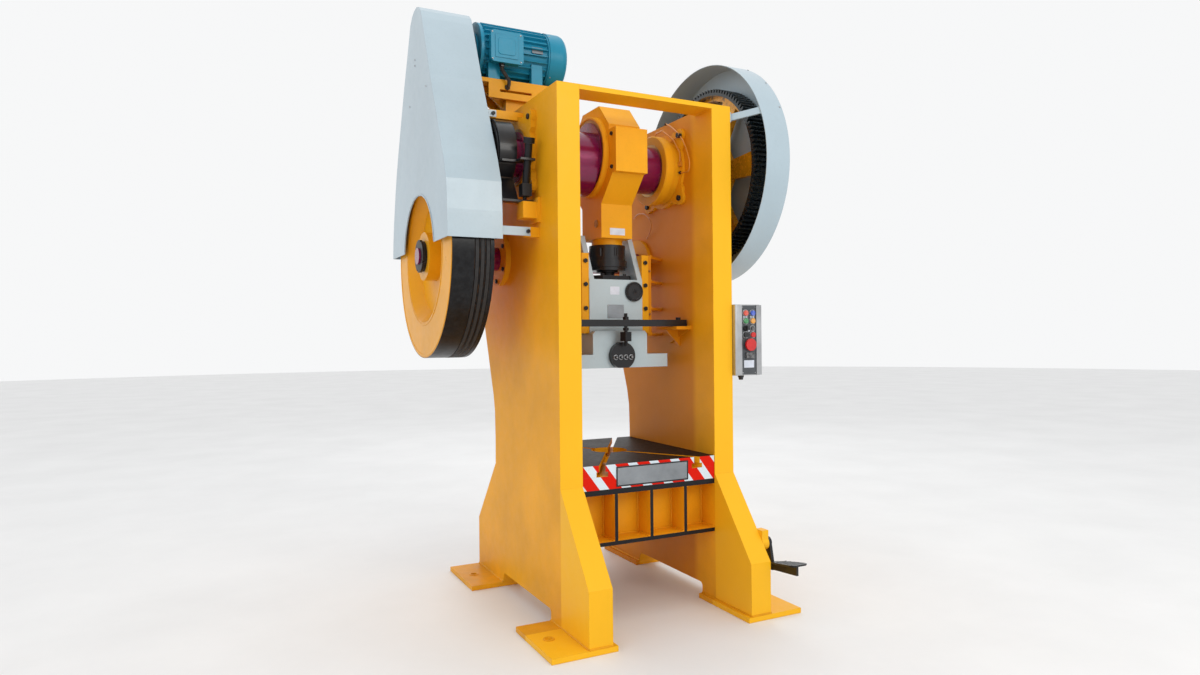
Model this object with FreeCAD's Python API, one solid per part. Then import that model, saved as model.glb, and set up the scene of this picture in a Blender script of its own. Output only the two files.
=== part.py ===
import FreeCAD, Part
import os
from math import pi, sin, cos, tan, atan2, sqrt, radians, degrees
from FreeCAD import Vector as V

# Geared straight-sided mechanical power press, cut from steel plate.
# Millimetres, +Z up, -Y is the operator's side, origin at the centre of the
# four anchor holes on the floor (which is also the ram axis).

# ------------------------------------------------------------ driving sizes
FRAME_H = 2400.0        # column height
GAP = 701.0             # clear width between the columns
COL_W = 109.0           # column width across
AX_Y = 427.5            # ram axis behind the columns' front face
FOOT_F = 276.0          # front foot in front of the upper column
SLOPE_TOP = 624.0
SLOPE_BOT = 258.0
FOOT_T = 23.0           # foot plate
WAIST_Y = 846.0
FOOT_R = 1137.0
BOLSTER_TOP = 713.0
BOLSTER_T = 110.0
BED_BOT = 349.0
CRANK_Z = 2150.0
ECC = 35.0              # eccentric throw, half of the stroke
PIN_R = 170.0
JRN_R = 121.0
CHEEK_R = 158.0
BS_Z = 1690.0           # back shaft height
MODULE = 8.0
Z_GEAR = 112
Z_PINION = 24
GEAR_X0, GEAR_X1 = 589.0, 689.0
FLY_R = 500.0
FLY_X0, FLY_X1 = -866.0, -672.0
RUN = 0.06              # radial running fit
GAPC = 0.4              # gap between bodies that face each other
RAM_HW = 148.6
RAM_Y0, RAM_Y1 = 332.0, 523.0
RAM_F0, RAM_F1 = 292.0, 563.0   # the ram's foot stands proud front and back
MOT_Y, MOT_Z, MOT_R = 738.0, 2741.0, 150.0
ANCH_X, ANCH_Y = 555.0, 512.5
ANCH_R = 14.0

XI = GAP / 2.0          # inner face of a column
XO = XI + COL_W         # outer face of a column
CD = MODULE * (Z_GEAR + Z_PINION) / 2.0
BS_Y = AX_Y + sqrt(CD * CD - (CRANK_Z - BS_Z) ** 2)
PINC_Z = CRANK_Z + ECC  # eccentric centre at top dead centre

X = V(1, 0, 0)
Y = V(0, 1, 0)
Z = V(0, 0, 1)


# ------------------------------------------------------------ helpers
def box(x0, x1, y0, y1, z0, z1):
    return Part.makeBox(x1 - x0, y1 - y0, z1 - z0, V(x0, y0, z0))


def cx(x0, x1, y, z, r):
    return Part.makeCylinder(r, x1 - x0, V(x0, y, z), X)


def cy(y0, y1, x, z, r):
    return Part.makeCylinder(r, y1 - y0, V(x, y0, z), Y)


def cz(z0, z1, x, y, r):
    return Part.makeCylinder(r, z1 - z0, V(x, y, z0), Z)


def poly_x(pts, x0, x1):
    w = Part.makePolygon([V(x0, a, b) for a, b in pts] + [V(x0, pts[0][0], pts[0][1])])
    return Part.Face(w).extrude(V(x1 - x0, 0, 0))


def poly_y(pts, y0, y1):
    w = Part.makePolygon([V(a, y0, b) for a, b in pts] + [V(pts[0][0], y0, pts[0][1])])
    return Part.Face(w).extrude(V(0, y1 - y0, 0))


def poly_z(pts, z0, z1):
    w = Part.makePolygon([V(a, b, z0) for a, b in pts] + [V(pts[0][0], pts[0][1], z0)])
    return Part.Face(w).extrude(V(0, 0, z1 - z0))


def fuse(*s):
    s = [i for i in s if i is not None]
    r = s[0].fuse(list(s[1:])) if len(s) > 1 else s[0]
    return r.removeSplitter()


def cut(a, *b):
    return a.cut(list(b)) if len(b) > 1 else a.cut(b[0])


def mirror_x(s):
    return s.mirror(V(0, 0, 0), V(1, 0, 0))


def hexp(c, axis, af, h):
    """hexagonal prism, af across flats, from c along axis"""
    r = af / 2.0 / cos(pi / 6)
    ax = V(axis).normalize()
    u = V(0, 0, 1) if abs(ax.z) < 0.9 else V(1, 0, 0)
    v = ax.cross(u)
    pts = [V(c) + u * (r * cos(i * pi / 3)) + v * (r * sin(i * pi / 3)) for i in range(6)]
    return Part.Face(Part.makePolygon(pts + [pts[0]])).extrude(ax * h)


def bolt(c, axis, af, h, shank_r=0, shank=0):
    b = hexp(c, axis, af, h)
    if shank:
        ax = V(axis).normalize()
        b = b.fuse(Part.makeCylinder(shank_r, shank, V(c) - ax * shank, ax))
    return b


def bar(p, q, w, t, side):
    """flat bar from p to q, width w along side, thickness t"""
    p, q = V(p), V(q)
    d = (q - p)
    L = d.Length
    d.normalize()
    s = V(side)
    s = (s - d * s.dot(d)).normalize()
    n = d.cross(s)
    pts = [p + s * (w / 2) + n * (t / 2), p - s * (w / 2) + n * (t / 2),
           p - s * (w / 2) - n * (t / 2), p + s * (w / 2) - n * (t / 2)]
    return Part.Face(Part.makePolygon(pts + [pts[0]])).extrude(d * L)


def tube(points, r):
    pts = [V(*p) for p in points]
    b = Part.BSplineCurve()
    b.interpolate(pts)
    e = b.toShape()
    t = b.tangent(b.FirstParameter)[0]
    c = Part.Wire(Part.makeCircle(r, pts[0], t))
    return Part.Wire(e).makePipeShell([c], True, False)


def stadium_z(x, y0, y1, r, z0, z1):
    return cz(z0, z1, x, y0, r).fuse([cz(z0, z1, x, y1, r), box(x - r, x + r, y0, y1, z0, z1)])


def lobed(xa, xb, r_in, reach, scoop):
    """four-cornered bearing flange with hollowed sides, around the crank axis"""
    a = reach / sqrt(2)
    p = box(xa, xb, AX_Y - a, AX_Y + a, CRANK_Z - a, CRANK_Z + a)
    d = a + scoop * 0.72
    for dy, dz in ((d, 0), (-d, 0), (0, d), (0, -d)):
        p = p.cut(cx(xa - 1, xb + 1, AX_Y + dy, CRANK_Z + dz, scoop))
    corner = [cx(xa, xb, AX_Y + sy * (a - 26), CRANK_Z + sz * (a - 26), 34) for sy in (-1, 1) for sz in (-1, 1)]
    return p.fuse([cx(xa, xb, AX_Y, CRANK_Z, r_in)] + corner).removeSplitter()


def gear_ring(x0, x1, y, z, m, n, phase=0.0):
    """toothed blank with straight-flanked teeth"""
    rp = m * n / 2.0
    ro, rr = rp + m, rp - 1.25 * m
    pts = []
    for i in range(n):
        c = phase + 2 * pi * i / n
        hr, hp, ho = 0.62 * pi / n, 0.47 * pi / n, 0.22 * pi / n
        for rad, ang in ((rr, -hr), (rp, -hp), (ro, -ho), (ro, ho), (rp, hp), (rr, hr)):
            pts.append((y + rad * cos(c + ang), z + rad * sin(c + ang)))
    return poly_x(pts, x0, x1)


parts = {}

# ------------------------------------------------------------ columns
slot_arch = 73.0
prof = [(0, FRAME_H), (0, SLOPE_TOP), (-FOOT_F, SLOPE_BOT), (-FOOT_F, FOOT_T),
        (115, FOOT_T), (115, slot_arch - 12), (127, slot_arch), (721, slot_arch), (733, slot_arch - 12), (745, FOOT_T),
        (FOOT_R, FOOT_T), (FOOT_R, 283), (WAIST_Y, SLOPE_TOP), (WAIST_Y - 2, 760), (850, 900), (870, 985),
        (909, 1088), (947, 1195), (988, 1303), (1030, 1430), (1060, 1560), (1075, 1700), (1080, 1800), (1080, FRAME_H)]
col = poly_x(prof, XI, XO)
col = col.cut(cx(XI - 5, XO + 5, AX_Y, CRANK_Z, 151)).cut(cx(XI - 5, XO + 5, BS_Y, BS_Z, 96))
pad_f = box(XI - 20, XO + 167, -FOOT_F - 8, 115, 0, FOOT_T)
pad_r = box(XI - 20, XO + 167, 745, FOOT_R + 2, 0, FOOT_T)
for yy in (AX_Y - ANCH_Y, AX_Y + ANCH_Y):
    pad_f = pad_f.cut(cz(-1, FOOT_T + 1, ANCH_X, yy, ANCH_R))
    pad_r = pad_r.cut(cz(-1, FOOT_T + 1, ANCH_X, yy, ANCH_R))
# each column is welded up from a profiled plate, two foot plates and brackets
right_col = [col, pad_f, pad_r]
left_col = [mirror_x(i) for i in right_col]

# flat tie across the top of the two columns, in front
parts["top_tie_bar"] = box(-XI, XI, 0, 140, FRAME_H - 22, FRAME_H)

# ------------------------------------------------------------ bed
by0, by1 = 5.0, WAIST_Y - 3.0
bz1 = BOLSTER_TOP - BOLSTER_T
bed = [box(-XI, XI, by0, 142, BED_BOT, BED_BOT + 18), box(-XI, XI, 712, by1, BED_BOT, BED_BOT + 18), box(-XI, XI, by0, by1, bz1 - 24, bz1),
       box(-XI, XI, 120, 142, BED_BOT, bz1), box(-XI, XI, 712, 734, BED_BOT, bz1)]
for xr in (-182, 2, 186):
    bed.append(box(xr - 8, xr + 8, by0, by1, BED_BOT, bz1))
bed = fuse(*bed)
bed = bed.cut(cz(BED_BOT - 5, bz1 + 5, 0, AX_Y, 88))
parts["bed_frame"] = bed

# the bolster's upper layer is parted into four wedges by the crossed T-slots
sx, syh = 252.0, (by1 - by0) / 2.0
base_top = BOLSTER_TOP - 52
bol = box(-XI, XI, by0, by1, bz1, base_top).cut(cz(bz1 - 5, base_top + 5, 0, AX_Y, 92))
top = box(-XI, XI, by0, by1, base_top, BOLSTER_TOP).cut(cz(base_top - 5, BOLSTER_TOP + 5, 0, AX_Y, 92))
for s in (-1, 1):
    p0, p1 = (-s * sx, by0), (s * sx, by1)
    dx, dy = p1[0] - p0[0], p1[1] - p0[1]
    L = sqrt(dx * dx + dy * dy)
    ux, uy = dx / L, dy / L
    nx, ny = -uy, ux
    for hw, za, zb in ((14, BOLSTER_TOP - 30, BOLSTER_TOP + 5), (25, base_top - 1, BOLSTER_TOP - 30)):
        e = 60
        q = [(p0[0] - ux * e + nx * hw, p0[1] - uy * e + ny * hw), (p1[0] + ux * e + nx * hw, p1[1] + uy * e + ny * hw),
             (p1[0] + ux * e - nx * hw, p1[1] + uy * e - ny * hw), (p0[0] - ux * e - nx * hw, p0[1] - uy * e - ny * hw)]
        top = top.cut(poly_z(q, za, zb))
parts["bolster_wedges"] = Part.makeCompound([w.removeSplitter() for w in top.Solids])
parts["bolster_plate"] = bol.removeSplitter()
plate = box(-182, 200, by0 - 2.5, by0, bz1 + 8, BOLSTER_TOP - 12)
parts["front_plate"] = plate

# ------------------------------------------------------------ crank bearings
def bearing(side):
    sleeve = cx(290, XI, AX_Y, CRANK_Z, 168)
    sleeve = sleeve.fuse([cx(XI, XO, AX_Y, CRANK_Z, 150), lobed(XI - 16, XI, 190, 262, 150), lobed(XO, XO + 26, 190, 262, 150)])
    sleeve = sleeve.cut(cx(280, 500, AX_Y, CRANK_Z, 134))
    a = 262 / sqrt(2) - 26
    h = [hexp(V(XI - 16, AX_Y + i * a, CRANK_Z + j * a), V(-1, 0, 0), 24, 12) for i in (-1, 1) for j in (-1, 1)]
    h += [hexp(V(XO + 26, AX_Y + i * a, CRANK_Z + j * a), V(1, 0, 0), 24, 8) for i in (-1, 1) for j in (-1, 1)]
    bush = cx(290, XO + 30, AX_Y, CRANK_Z, 133.2).cut(cx(280, 500, AX_Y, CRANK_Z, JRN_R + RUN))
    return sleeve.removeSplitter(), bush, Part.makeCompound(h)


hs, bu, hb = bearing(1)
# the right bearing's sleeve runs further in, the crank's cheek leaves no room for it on the left
inner = cx(250, 294, AX_Y, CRANK_Z, 178)
inner = inner.makeChamfer(5, [e for e in inner.Edges if abs(e.BoundBox.XMin - 250) < 0.01 and abs(e.BoundBox.XMax - 250) < 0.01])
hr = hs.fuse(inner.cut(cx(240, 330, AX_Y, CRANK_Z, 134))).removeSplitter()
br_ = bu.fuse(cx(250, 290.01, AX_Y, CRANK_Z, 133.2).cut(cx(240, 300, AX_Y, CRANK_Z, JRN_R + RUN))).removeSplitter()
parts["crank_bearings"] = Part.makeCompound([hr, mirror_x(hs)])
parts["crank_bushes"] = Part.makeCompound([br_, mirror_x(bu)])
frame_bolts = list(hb.Solids) + list(mirror_x(hb).Solids)

# ------------------------------------------------------------ crankshaft
crank = [cx(-636, -XO - 34, AX_Y, CRANK_Z, 90), cx(-XO - 34.01, -289, AX_Y, CRANK_Z, JRN_R), cx(-289, -116, AX_Y, CRANK_Z, CHEEK_R),
         cx(-116, 113, AX_Y, PINC_Z, PIN_R), cx(113, XO + 34, AX_Y, CRANK_Z, JRN_R), cx(XO + 33.99, 693, AX_Y, CRANK_Z, 90)]
crank = fuse(*crank)
parts["crankshaft"] = crank

# brake drum keyed on the crank's left end, with its band
drum = cx(-630, -540, AX_Y, CRANK_Z, 150).cut(cx(-640, -530, AX_Y, CRANK_Z, 90))
drum = drum.cut(cx(-635, -600, AX_Y, CRANK_Z, 134).cut(cx(-640, -590, AX_Y, CRANK_Z, 112)))
parts["brake_drum"] = drum
band = cx(-626, -544, AX_Y, CRANK_Z, 166).cut(cx(-640, -530, AX_Y, CRANK_Z, 159))
lin = cx(-622, -548, AX_Y, CRANK_Z, 158).cut(cx(-640, -530, AX_Y, CRANK_Z, 150.4))
# opening of the band at the lower front
wedge = poly_x([(AX_Y, CRANK_Z), (AX_Y - 420, CRANK_Z - 190), (AX_Y - 330, CRANK_Z - 400)], -650, -520)
band = band.cut(wedge)
lin = lin.cut(wedge)
ua = atan2(-190, -420)
la = atan2(-400, -330)
ub = (AX_Y + 162.5 * cos(ua), CRANK_Z + 162.5 * sin(ua))
lb = (AX_Y + 162.5 * cos(la), CRANK_Z + 162.5 * sin(la))
RODV = V(0, -0.235, 0.972)
lug_u = box(-626, -544, ub[0] - 44, ub[0] + 3.5, ub[1] + 3, ub[1] + 13).fuse(box(-560, -490, 176, ub[0] - 20, ub[1] + 3, ub[1] + 13)).cut(Part.makeCylinder(18, 300, V(-516, 250, 1905), RODV))
lug_l = poly_x([(lb[0] - 4, lb[1] - 2), (lb[0] + 4, lb[1] + 3), (lb[0] - 64, 1909), (lb[0] - 75, 1909)], -626, -544).fuse(box(-626, -476, 236, 284, 1905.4, 1916)).cut(Part.makeCylinder(10, 60, V(-516, 250 + 0.235 * 30, 1905 - 0.972 * 30), RODV))
parts["brake_band"] = fuse(band, lug_u, lug_l).cut(cx(-640, -530, AX_Y, CRANK_Z, 159)).removeSplitter()
parts["brake_lining"] = lin
# anchor block on the column and the spring screw that pulls the band
ay, az_ = 262.0, 1872.0
anchor = box(-XO - 80, -XO, 205, 285, 1830, 1905)
anchor = anchor.fuse(box(-XO - 14, -XO, 190, 300, 1812, 1925)).removeSplitter()
left_col.append(anchor)
def along(d):
    return V(-516, 250 - 0.235 * d, 1905 + 0.972 * d)


rod = [Part.makeCylinder(9, 286, along(4), RODV), Part.makeCylinder(17, 178, along(88), RODV), Part.makeCylinder(26, 26, along(266), RODV)]
clev = box(-542, -496, 205, 252, 1930, 1986)
clev = clev.fuse(rod)
parts["brake_spring_rod"] = clev.removeSplitter()

# ------------------------------------------------------------ clutch and big gear
clutch = cx(498, 578, AX_Y, CRANK_Z, 150).cut(cx(490, 590, AX_Y, CRANK_Z, 90))
clutch = clutch.cut(box(500, 540, AX_Y - 170, AX_Y - 128, CRANK_Z - 110, CRANK_Z - 60))
parts["clutch_ring"] = clutch.removeSplitter()
rp = MODULE * Z_GEAR / 2.0
g = gear_ring(GEAR_X0, GEAR_X1, AX_Y, CRANK_Z, MODULE, Z_GEAR)
g = g.cut(cx(GEAR_X0 - 1, GEAR_X0 + 34, AX_Y, CRANK_Z, 424).cut(cx(GEAR_X0 - 2, GEAR_X0 + 35, AX_Y, CRANK_Z, 150)))
g = g.cut(cx(GEAR_X1 - 34, GEAR_X1 + 1, AX_Y, CRANK_Z, 410).cut(cx(GEAR_X1 - 35, GEAR_X1 + 2, AX_Y, CRANK_Z, 150)))
for i in range(6):
    a0 = radians(60 * i + 30)
    q = []
    for rr, da in ((205, -16), (395, -21), (402, -10), (404, 0), (402, 10), (395, 21), (205, 16), (196, 0)):
        q.append((AX_Y + rr * cos(a0 + radians(da)), CRANK_Z + rr * sin(a0 + radians(da))))
    g = g.cut(poly_x(q, GEAR_X0 - 5, GEAR_X1 + 5))
g = g.cut(cx(GEAR_X0 - 5, GEAR_X1 + 5, AX_Y, CRANK_Z, 102))
parts["main_gear"] = g
parts["gear_bush"] = cx(GEAR_X0 - 1, GEAR_X1, AX_Y, CRANK_Z, 102).cut(cx(GEAR_X0 - 5, GEAR_X1 + 5, AX_Y, CRANK_Z, 90 + RUN))

# ------------------------------------------------------------ back shaft, pinion, flywheel
bs = fuse(cx(-899, -848, BS_Y, BS_Z, 41), cx(-848.01, 694, BS_Y, BS_Z, 60))
parts["back_shaft"] = bs
phase = atan2(CRANK_Z - BS_Z, AX_Y - BS_Y) + pi / Z_PINION
# turn the pinion so that its tooth gaps meet the gear's teeth
g_dir = atan2(BS_Z - CRANK_Z, BS_Y - AX_Y)
k = g_dir / (2 * pi / Z_GEAR)
off = (k - round(k)) * (2 * pi / Z_GEAR)
phase = phase + off * Z_GEAR / Z_PINION
pin = gear_ring(GEAR_X0 - 4, GEAR_X1 + 2, BS_Y, BS_Z, MODULE, Z_PINION, phase).cut(cx(GEAR_X0 - 9, GEAR_X1 + 9, BS_Y, BS_Z, 60))
parts["pinion"] = pin
fly = cx(FLY_X0, FLY_X1, BS_Y, BS_Z, FLY_R)
dish = Part.makeCone(325, 285, 62, V(FLY_X0 - 0.01, BS_Y, BS_Z), X).cut(cx(FLY_X0 - 5, FLY_X0 + 70, BS_Y, BS_Z, 118))
fly = fly.cut(dish)
back = cx(FLY_X1 - 86, FLY_X1 + 1, BS_Y, BS_Z, 420).cut(cx(FLY_X1 - 90, FLY_X1 + 2, BS_Y, BS_Z, 118))
fly = fly.cut(back)
GROOVES = (-752.0, -726.5, -701.0)
for gx in GROOVES:
    w = [(gx - 11.5, FLY_R + 1), (gx + 11.5, FLY_R + 1), (gx + 7.6, FLY_R - 15), (gx - 7.6, FLY_R - 15)]
    f = Part.Face(Part.makePolygon([V(a, BS_Y, BS_Z + b) for a, b in w + [w[0]]]))
    fly = fly.cut(f.revolve(V(0, BS_Y, BS_Z), X, 360))
fly = fly.cut(cx(FLY_X0 - 5, FLY_X1 + 5, BS_Y, BS_Z, 60))
parts["flywheel"] = fly
nut = cx(-890, -878, BS_Y, BS_Z, 80).fuse(cx(-878, -866, BS_Y, BS_Z, 74))
for i in range(4):
    a0 = radians(90 * i + 25)
    nut = nut.cut(Part.makeBox(40, 16, 12, V(-892, -8, 72)).copy() if False else bar(V(-892, BS_Y + 78 * cos(a0), BS_Z + 78 * sin(a0)), V(-876, BS_Y + 78 * cos(a0), BS_Z + 78 * sin(a0)), 14, 14, V(0, cos(a0), sin(a0))))
nut = nut.cut(cx(-900, -860, BS_Y, BS_Z, 41))
parts["flywheel_ring_nuts"] = nut.cut(cx(-900, -848, BS_Y, BS_Z, 41.3)).removeSplitter()
hh = []
bsb = []
for s in (-1, 1):
    h = cx(XI - 18, XO + 28, BS_Y, BS_Z, 95).fuse([cx(XI - 18, XI, BS_Y, BS_Z, 135), cx(XO, XO + 28, BS_Y, BS_Z, 135)])
    h = h.cut(cx(XI - 30, XO + 40, BS_Y, BS_Z, 60 + RUN)).removeSplitter()
    bsb.append(mirror_x(h) if s < 0 else h)
    for j in range(6):
        a0 = radians(60 * j + 30)
        b = hexp(V(XO + 28, BS_Y + 114 * cos(a0), BS_Z + 114 * sin(a0)), X, 19, 9)
        hh.append(mirror_x(b) if s < 0 else b)
parts["back_shaft_bearings"] = Part.makeCompound(bsb)
frame_bolts += hh

# ------------------------------------------------------------ gear guard
R_G, R_P = 575.0, 168.0
def guard_solid(r1, r2, xa, xb):
    s = cx(xa, xb, AX_Y, CRANK_Z, r1).fuse(cx(xa, xb, BS_Y, BS_Z, r2))
    d = V(0, BS_Y - AX_Y, BS_Z - CRANK_Z)
    L = d.Length
    d.normalize()
    n = V(0, -d.z, d.y)
    a, b = V(xa, AX_Y, CRANK_Z), V(xa, BS_Y, BS_Z)
    k = (r1 - r2) / L
    c = sqrt(1 - k * k)
    q = []
    for sgn, r, o in ((1, r1, a), (1, r2, b), (-1, r2, b), (-1, r1, a)):
        q.append(o + d * (r * k) + n * (sgn * r * c))
    f = Part.Face(Part.makePolygon(q + [q[0]])).extrude(V(xb - xa, 0, 0))
    return s.fuse(f).removeSplitter()


gg = guard_solid(R_G, R_P, 563, 702).cut(guard_solid(R_G - 3, R_P - 3, 562, 699))
parts["gear_guard"] = gg.removeSplitter()
def strap(y0, z0, ang):
    # tab on the column, arm out to the guard's rim
    ca, sa = cos(radians(ang)), sin(radians(ang))
    r1 = R_G - 3.0
    py, pz = AX_Y + ca * (r1 - 3.0), CRANK_Z + sa * (r1 - 3.0)
    t = box(XO, XO + 8, y0 - 22, y0 + 22, z0 - 24, z0 + 24)
    a = bar(V(XO + 4, y0, z0), V(572, py, pz), 36, 7, V(0, -sa, ca))
    f = bar(V(564, py, pz), V(600, py, pz), 44, 6, V(0, -sa, ca))
    q = t.fuse([a, f]).cut(box(300, XO, -200, 1400, 1400, 2700)).cut(cx(540, 720, AX_Y, CRANK_Z, 900).cut(cx(530, 730, AX_Y, CRANK_Z, r1))).removeSplitter()
    return max(q.Solids, key=lambda w: w.Volume)


st = [strap(26, 2350, 157), strap(1000, 2362, 20), strap(300, 1600, 250)]

# ------------------------------------------------------------ belt guard
GX0, GX1 = -892.0, -639.0
gp = [(200, 1728), (203, 1850), (214, 1985), (262, 2100), (325, 2225), (398, 2370), (469, 2510), (545, 2678), (612, 2826), (634, 2866), (668, 2894),
      (710, 2908), (760, 2906), (800, 2893), (838, 2862), (900, 2745), (985, 2590), (1079, 2399), (1140, 2270), (1189, 2153), (1225, 2040), (1258, 1920), (1280, 1810), (1288, 1728)]
def inset(pts, t):
    out = []
    n = len(pts)
    for i in range(n):
        p = V(pts[i][0], pts[i][1], 0)
        a = V(pts[i - 1][0], pts[i - 1][1], 0)
        b = V(pts[(i + 1) % n][0], pts[(i + 1) % n][1], 0)
        d1 = (p - a).normalize()
        d2 = (b - p).normalize()
        n1 = V(d1.y, -d1.x, 0)
        n2 = V(d2.y, -d2.x, 0)
        m = n1 + n2
        out.append((p.x + m.x * t / (1 + n1.dot(n2)), p.y + m.y * t / (1 + n1.dot(n2))))
    return out
T = 3.0
gi = inset(gp, T)
gi[0] = (gi[0][0], 1700)
gi[-1] = (gi[-1][0], 1700)
bg = poly_x(gp, GX0, GX1).cut(poly_x(gi, GX0 + T, GX1 + 5))
bg = bg.cut(cx(GX0 - 5, GX0 + 10, BS_Y, BS_Z, 292))
parts["belt_guard"] = bg.removeSplitter()
lowtab = box(GX1 - 24, -505, 205.4, 211.4, 1748, 1788)
stand1 = box(-505 - 24, -XO, 211.4, 246, 1745, 1790)
stand2 = box(-632, -XO, 402, 426, 2322, 2362).cut(cx(-XO - 27, -XO + 1, AX_Y, CRANK_Z, 191))
left_col += [stand1, stand2]
parts["guard_straps"] = Part.makeCompound(st + [lowtab, box(GX1 - 20, -596, 396, 402, 2326, 2358)])
sb = [hexp(V(-517, 205.4, 1768), V(0, -1, 0), 17, 9), hexp(V(-612, 396, 2342), V(0, -1, 0), 17, 9)]
frame_bolts += sb

# ------------------------------------------------------------ motor
bz = MOT_Z - 160.0
mb = [box(-600, -150, 610, 866, bz - 20, bz), box(-XO, -XI, 640, 850, FRAME_H, bz - 20),
      poly_y([(-XO, bz - 20), (-590, bz - 20), (-XO, bz - 120)], 690, 702), poly_y([(-XO, bz - 20), (-590, bz - 20), (-XO, bz - 120)], 790, 802),
      poly_y([(-XI, bz - 20), (-170, bz - 20), (-XI, bz - 120)], 690, 702), poly_y([(-XI, bz - 20), (-170, bz - 20), (-XI, bz - 120)], 790, 802),
      box(-560, -200, 610, 622, bz - 95, bz - 20)]
mb = fuse(*mb).cut(box(-500, -330, 600, 630, bz - 62, bz - 50))
parts["motor_base"] = mb
mot = cx(-585, -240, MOT_Y, MOT_Z, 132)
fins = []
for i in range(28):
    a0 = 2 * pi * (i + 0.5) / 28
    fins.append(bar(V(-575, MOT_Y + 139 * cos(a0), MOT_Z + 139 * sin(a0)), V(-246, MOT_Y + 139 * cos(a0), MOT_Z + 139 * sin(a0)), 20, 5, V(0, cos(a0), sin(a0))))
mot = mot.fuse(fins)
mot = mot.fuse([cx(-600, -585, MOT_Y, MOT_Z, 146), cx(-608, -600, MOT_Y, MOT_Z, 92), cx(-240, -232, MOT_Y, MOT_Z, 146)])
for xa in (-560, -330):
    mot = mot.fuse(box(xa, xa + 60, MOT_Y - 127, MOT_Y + 127, bz, bz + 18).fuse([box(xa, xa + 60, MOT_Y - 127, MOT_Y - 95, bz, MOT_Z - 60), box(xa, xa + 60, MOT_Y + 95, MOT_Y + 127, bz, MOT_Z - 60)]))
mot = mot.cut(cx(-620, -220, MOT_Y, MOT_Z, 40))
parts["motor_body"] = mot.removeSplitter()
cowl = cx(-232, -128, MOT_Y, MOT_Z, 150)
cowl = cowl.makeFillet(34, [e for e in cowl.Edges if abs(e.CenterOfMass.x + 128) < 1 and e.Length > 100][:1])
inner = cx(-233, -131, MOT_Y, MOT_Z, 146.5)
inner = inner.makeFillet(31, [e for e in inner.Edges if abs(e.CenterOfMass.x + 131) < 1 and e.Length > 100][:1])
cowl = cowl.cut(inner)
for rr in (40, 62, 84, 106):
    for j in range(4):
        a0 = radians(90 * j + 45)
        for dj in (-24, -8, 8, 24):
            b0 = a0 + radians(dj)
            cowl = cowl.cut(cx(-140, -120, MOT_Y + rr * cos(b0), MOT_Z + rr * sin(b0), min(5.5, rr * 0.085)))
parts["fan_cowl"] = cowl
parts["motor_rotor"] = fuse(cx(-768, -607.99, MOT_Y, MOT_Z, 24), cx(-608, -242, MOT_Y, MOT_Z, 39.9), cx(-242.01, -150, MOT_Y, MOT_Z, 22))
fanp = cx(-222, -190, MOT_Y, MOT_Z, 36).fuse(cx(-222, -217, MOT_Y, MOT_Z, 120))
for j in range(7):
    a0 = 2 * pi * j / 7
    fanp = fanp.fuse(bar(V(-217, MOT_Y + 78 * cos(a0), MOT_Z + 78 * sin(a0)), V(-188, MOT_Y + 78 * cos(a0), MOT_Z + 78 * sin(a0)), 84, 5, V(0, cos(a0), sin(a0))))
parts["motor_fan"] = fanp.cut(cx(-240, -140, MOT_Y, MOT_Z, 22)).removeSplitter()
tb = box(-560, -402, 560, 602, 2652, 2796)
tb = tb.makeFillet(16, [e for e in tb.Edges if abs(e.tangentAt(e.FirstParameter).y) > 0.9])
tb = tb.fuse(box(-535, -430, 602, MOT_Y - 118, 2670, 2780))
tb = tb.cut(cx(-620, -220, MOT_Y, MOT_Z, 132.6)).cut(box(-562, -499, 610, 645, 2500, 2682)).removeSplitter()
for f_ in fins:
    tb = tb.cut(f_)
parts["terminal_box"] = max(tb.Solids, key=lambda q: q.Volume)
lid = box(-566, -396, 548, 560, 2646, 2802)
lid = lid.makeFillet(18, [e for e in lid.Edges if abs(e.tangentAt(e.FirstParameter).y) > 0.9])
lid = lid.fuse(box(-545, -425, 545, 548, 2668, 2782))
parts["terminal_lid"] = lid.removeSplitter()
def bent(points, r, rb):
    """round tube through the points, with bends of radius rb at the corners"""
    pts = [V(*p) for p in points]
    edges, last = [], pts[0]
    for i in range(1, len(pts) - 1):
        u = (pts[i] - pts[i - 1]).normalize()
        w = (pts[i + 1] - pts[i]).normalize()
        th = u.getAngle(w)
        t = rb * tan(th / 2)
        p1, p2 = pts[i] - u * t, pts[i] + w * t
        bis = (w - u).normalize()
        mid = pts[i] + bis * (rb / cos(th / 2) - rb)
        edges += [Part.makeLine(last, p1), Part.Arc(p1, mid, p2).toShape()]
        last = p2
    edges.append(Part.makeLine(last, pts[-1]))
    t0 = (pts[1] - pts[0]).normalize()
    return Part.Wire(edges).makePipeShell([Part.Wire(Part.makeCircle(r, pts[0], t0))], True, False)


parts["motor_feed_conduit"] = bent([(-500, 582, 2652), (-500, 582, 2622), (-462, 582, 2572), (-462, 582, 2544), (-462, 610, 2544)], 9, 19)
PUL_R = 100.0
pul = cx(-772, -684, MOT_Y, MOT_Z, PUL_R)
for gx in GROOVES:
    w = [(gx - 11.5, PUL_R + 1), (gx + 11.5, PUL_R + 1), (gx + 7.6, PUL_R - 15), (gx - 7.6, PUL_R - 15)]
    f = Part.Face(Part.makePolygon([V(a, MOT_Y, MOT_Z + b) for a, b in w + [w[0]]]))
    pul = pul.cut(f.revolve(V(0, MOT_Y, MOT_Z), X, 360))
pul = pul.cut(cx(-780, -680, MOT_Y, MOT_Z, 24))
parts["motor_pulley"] = pul
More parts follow.
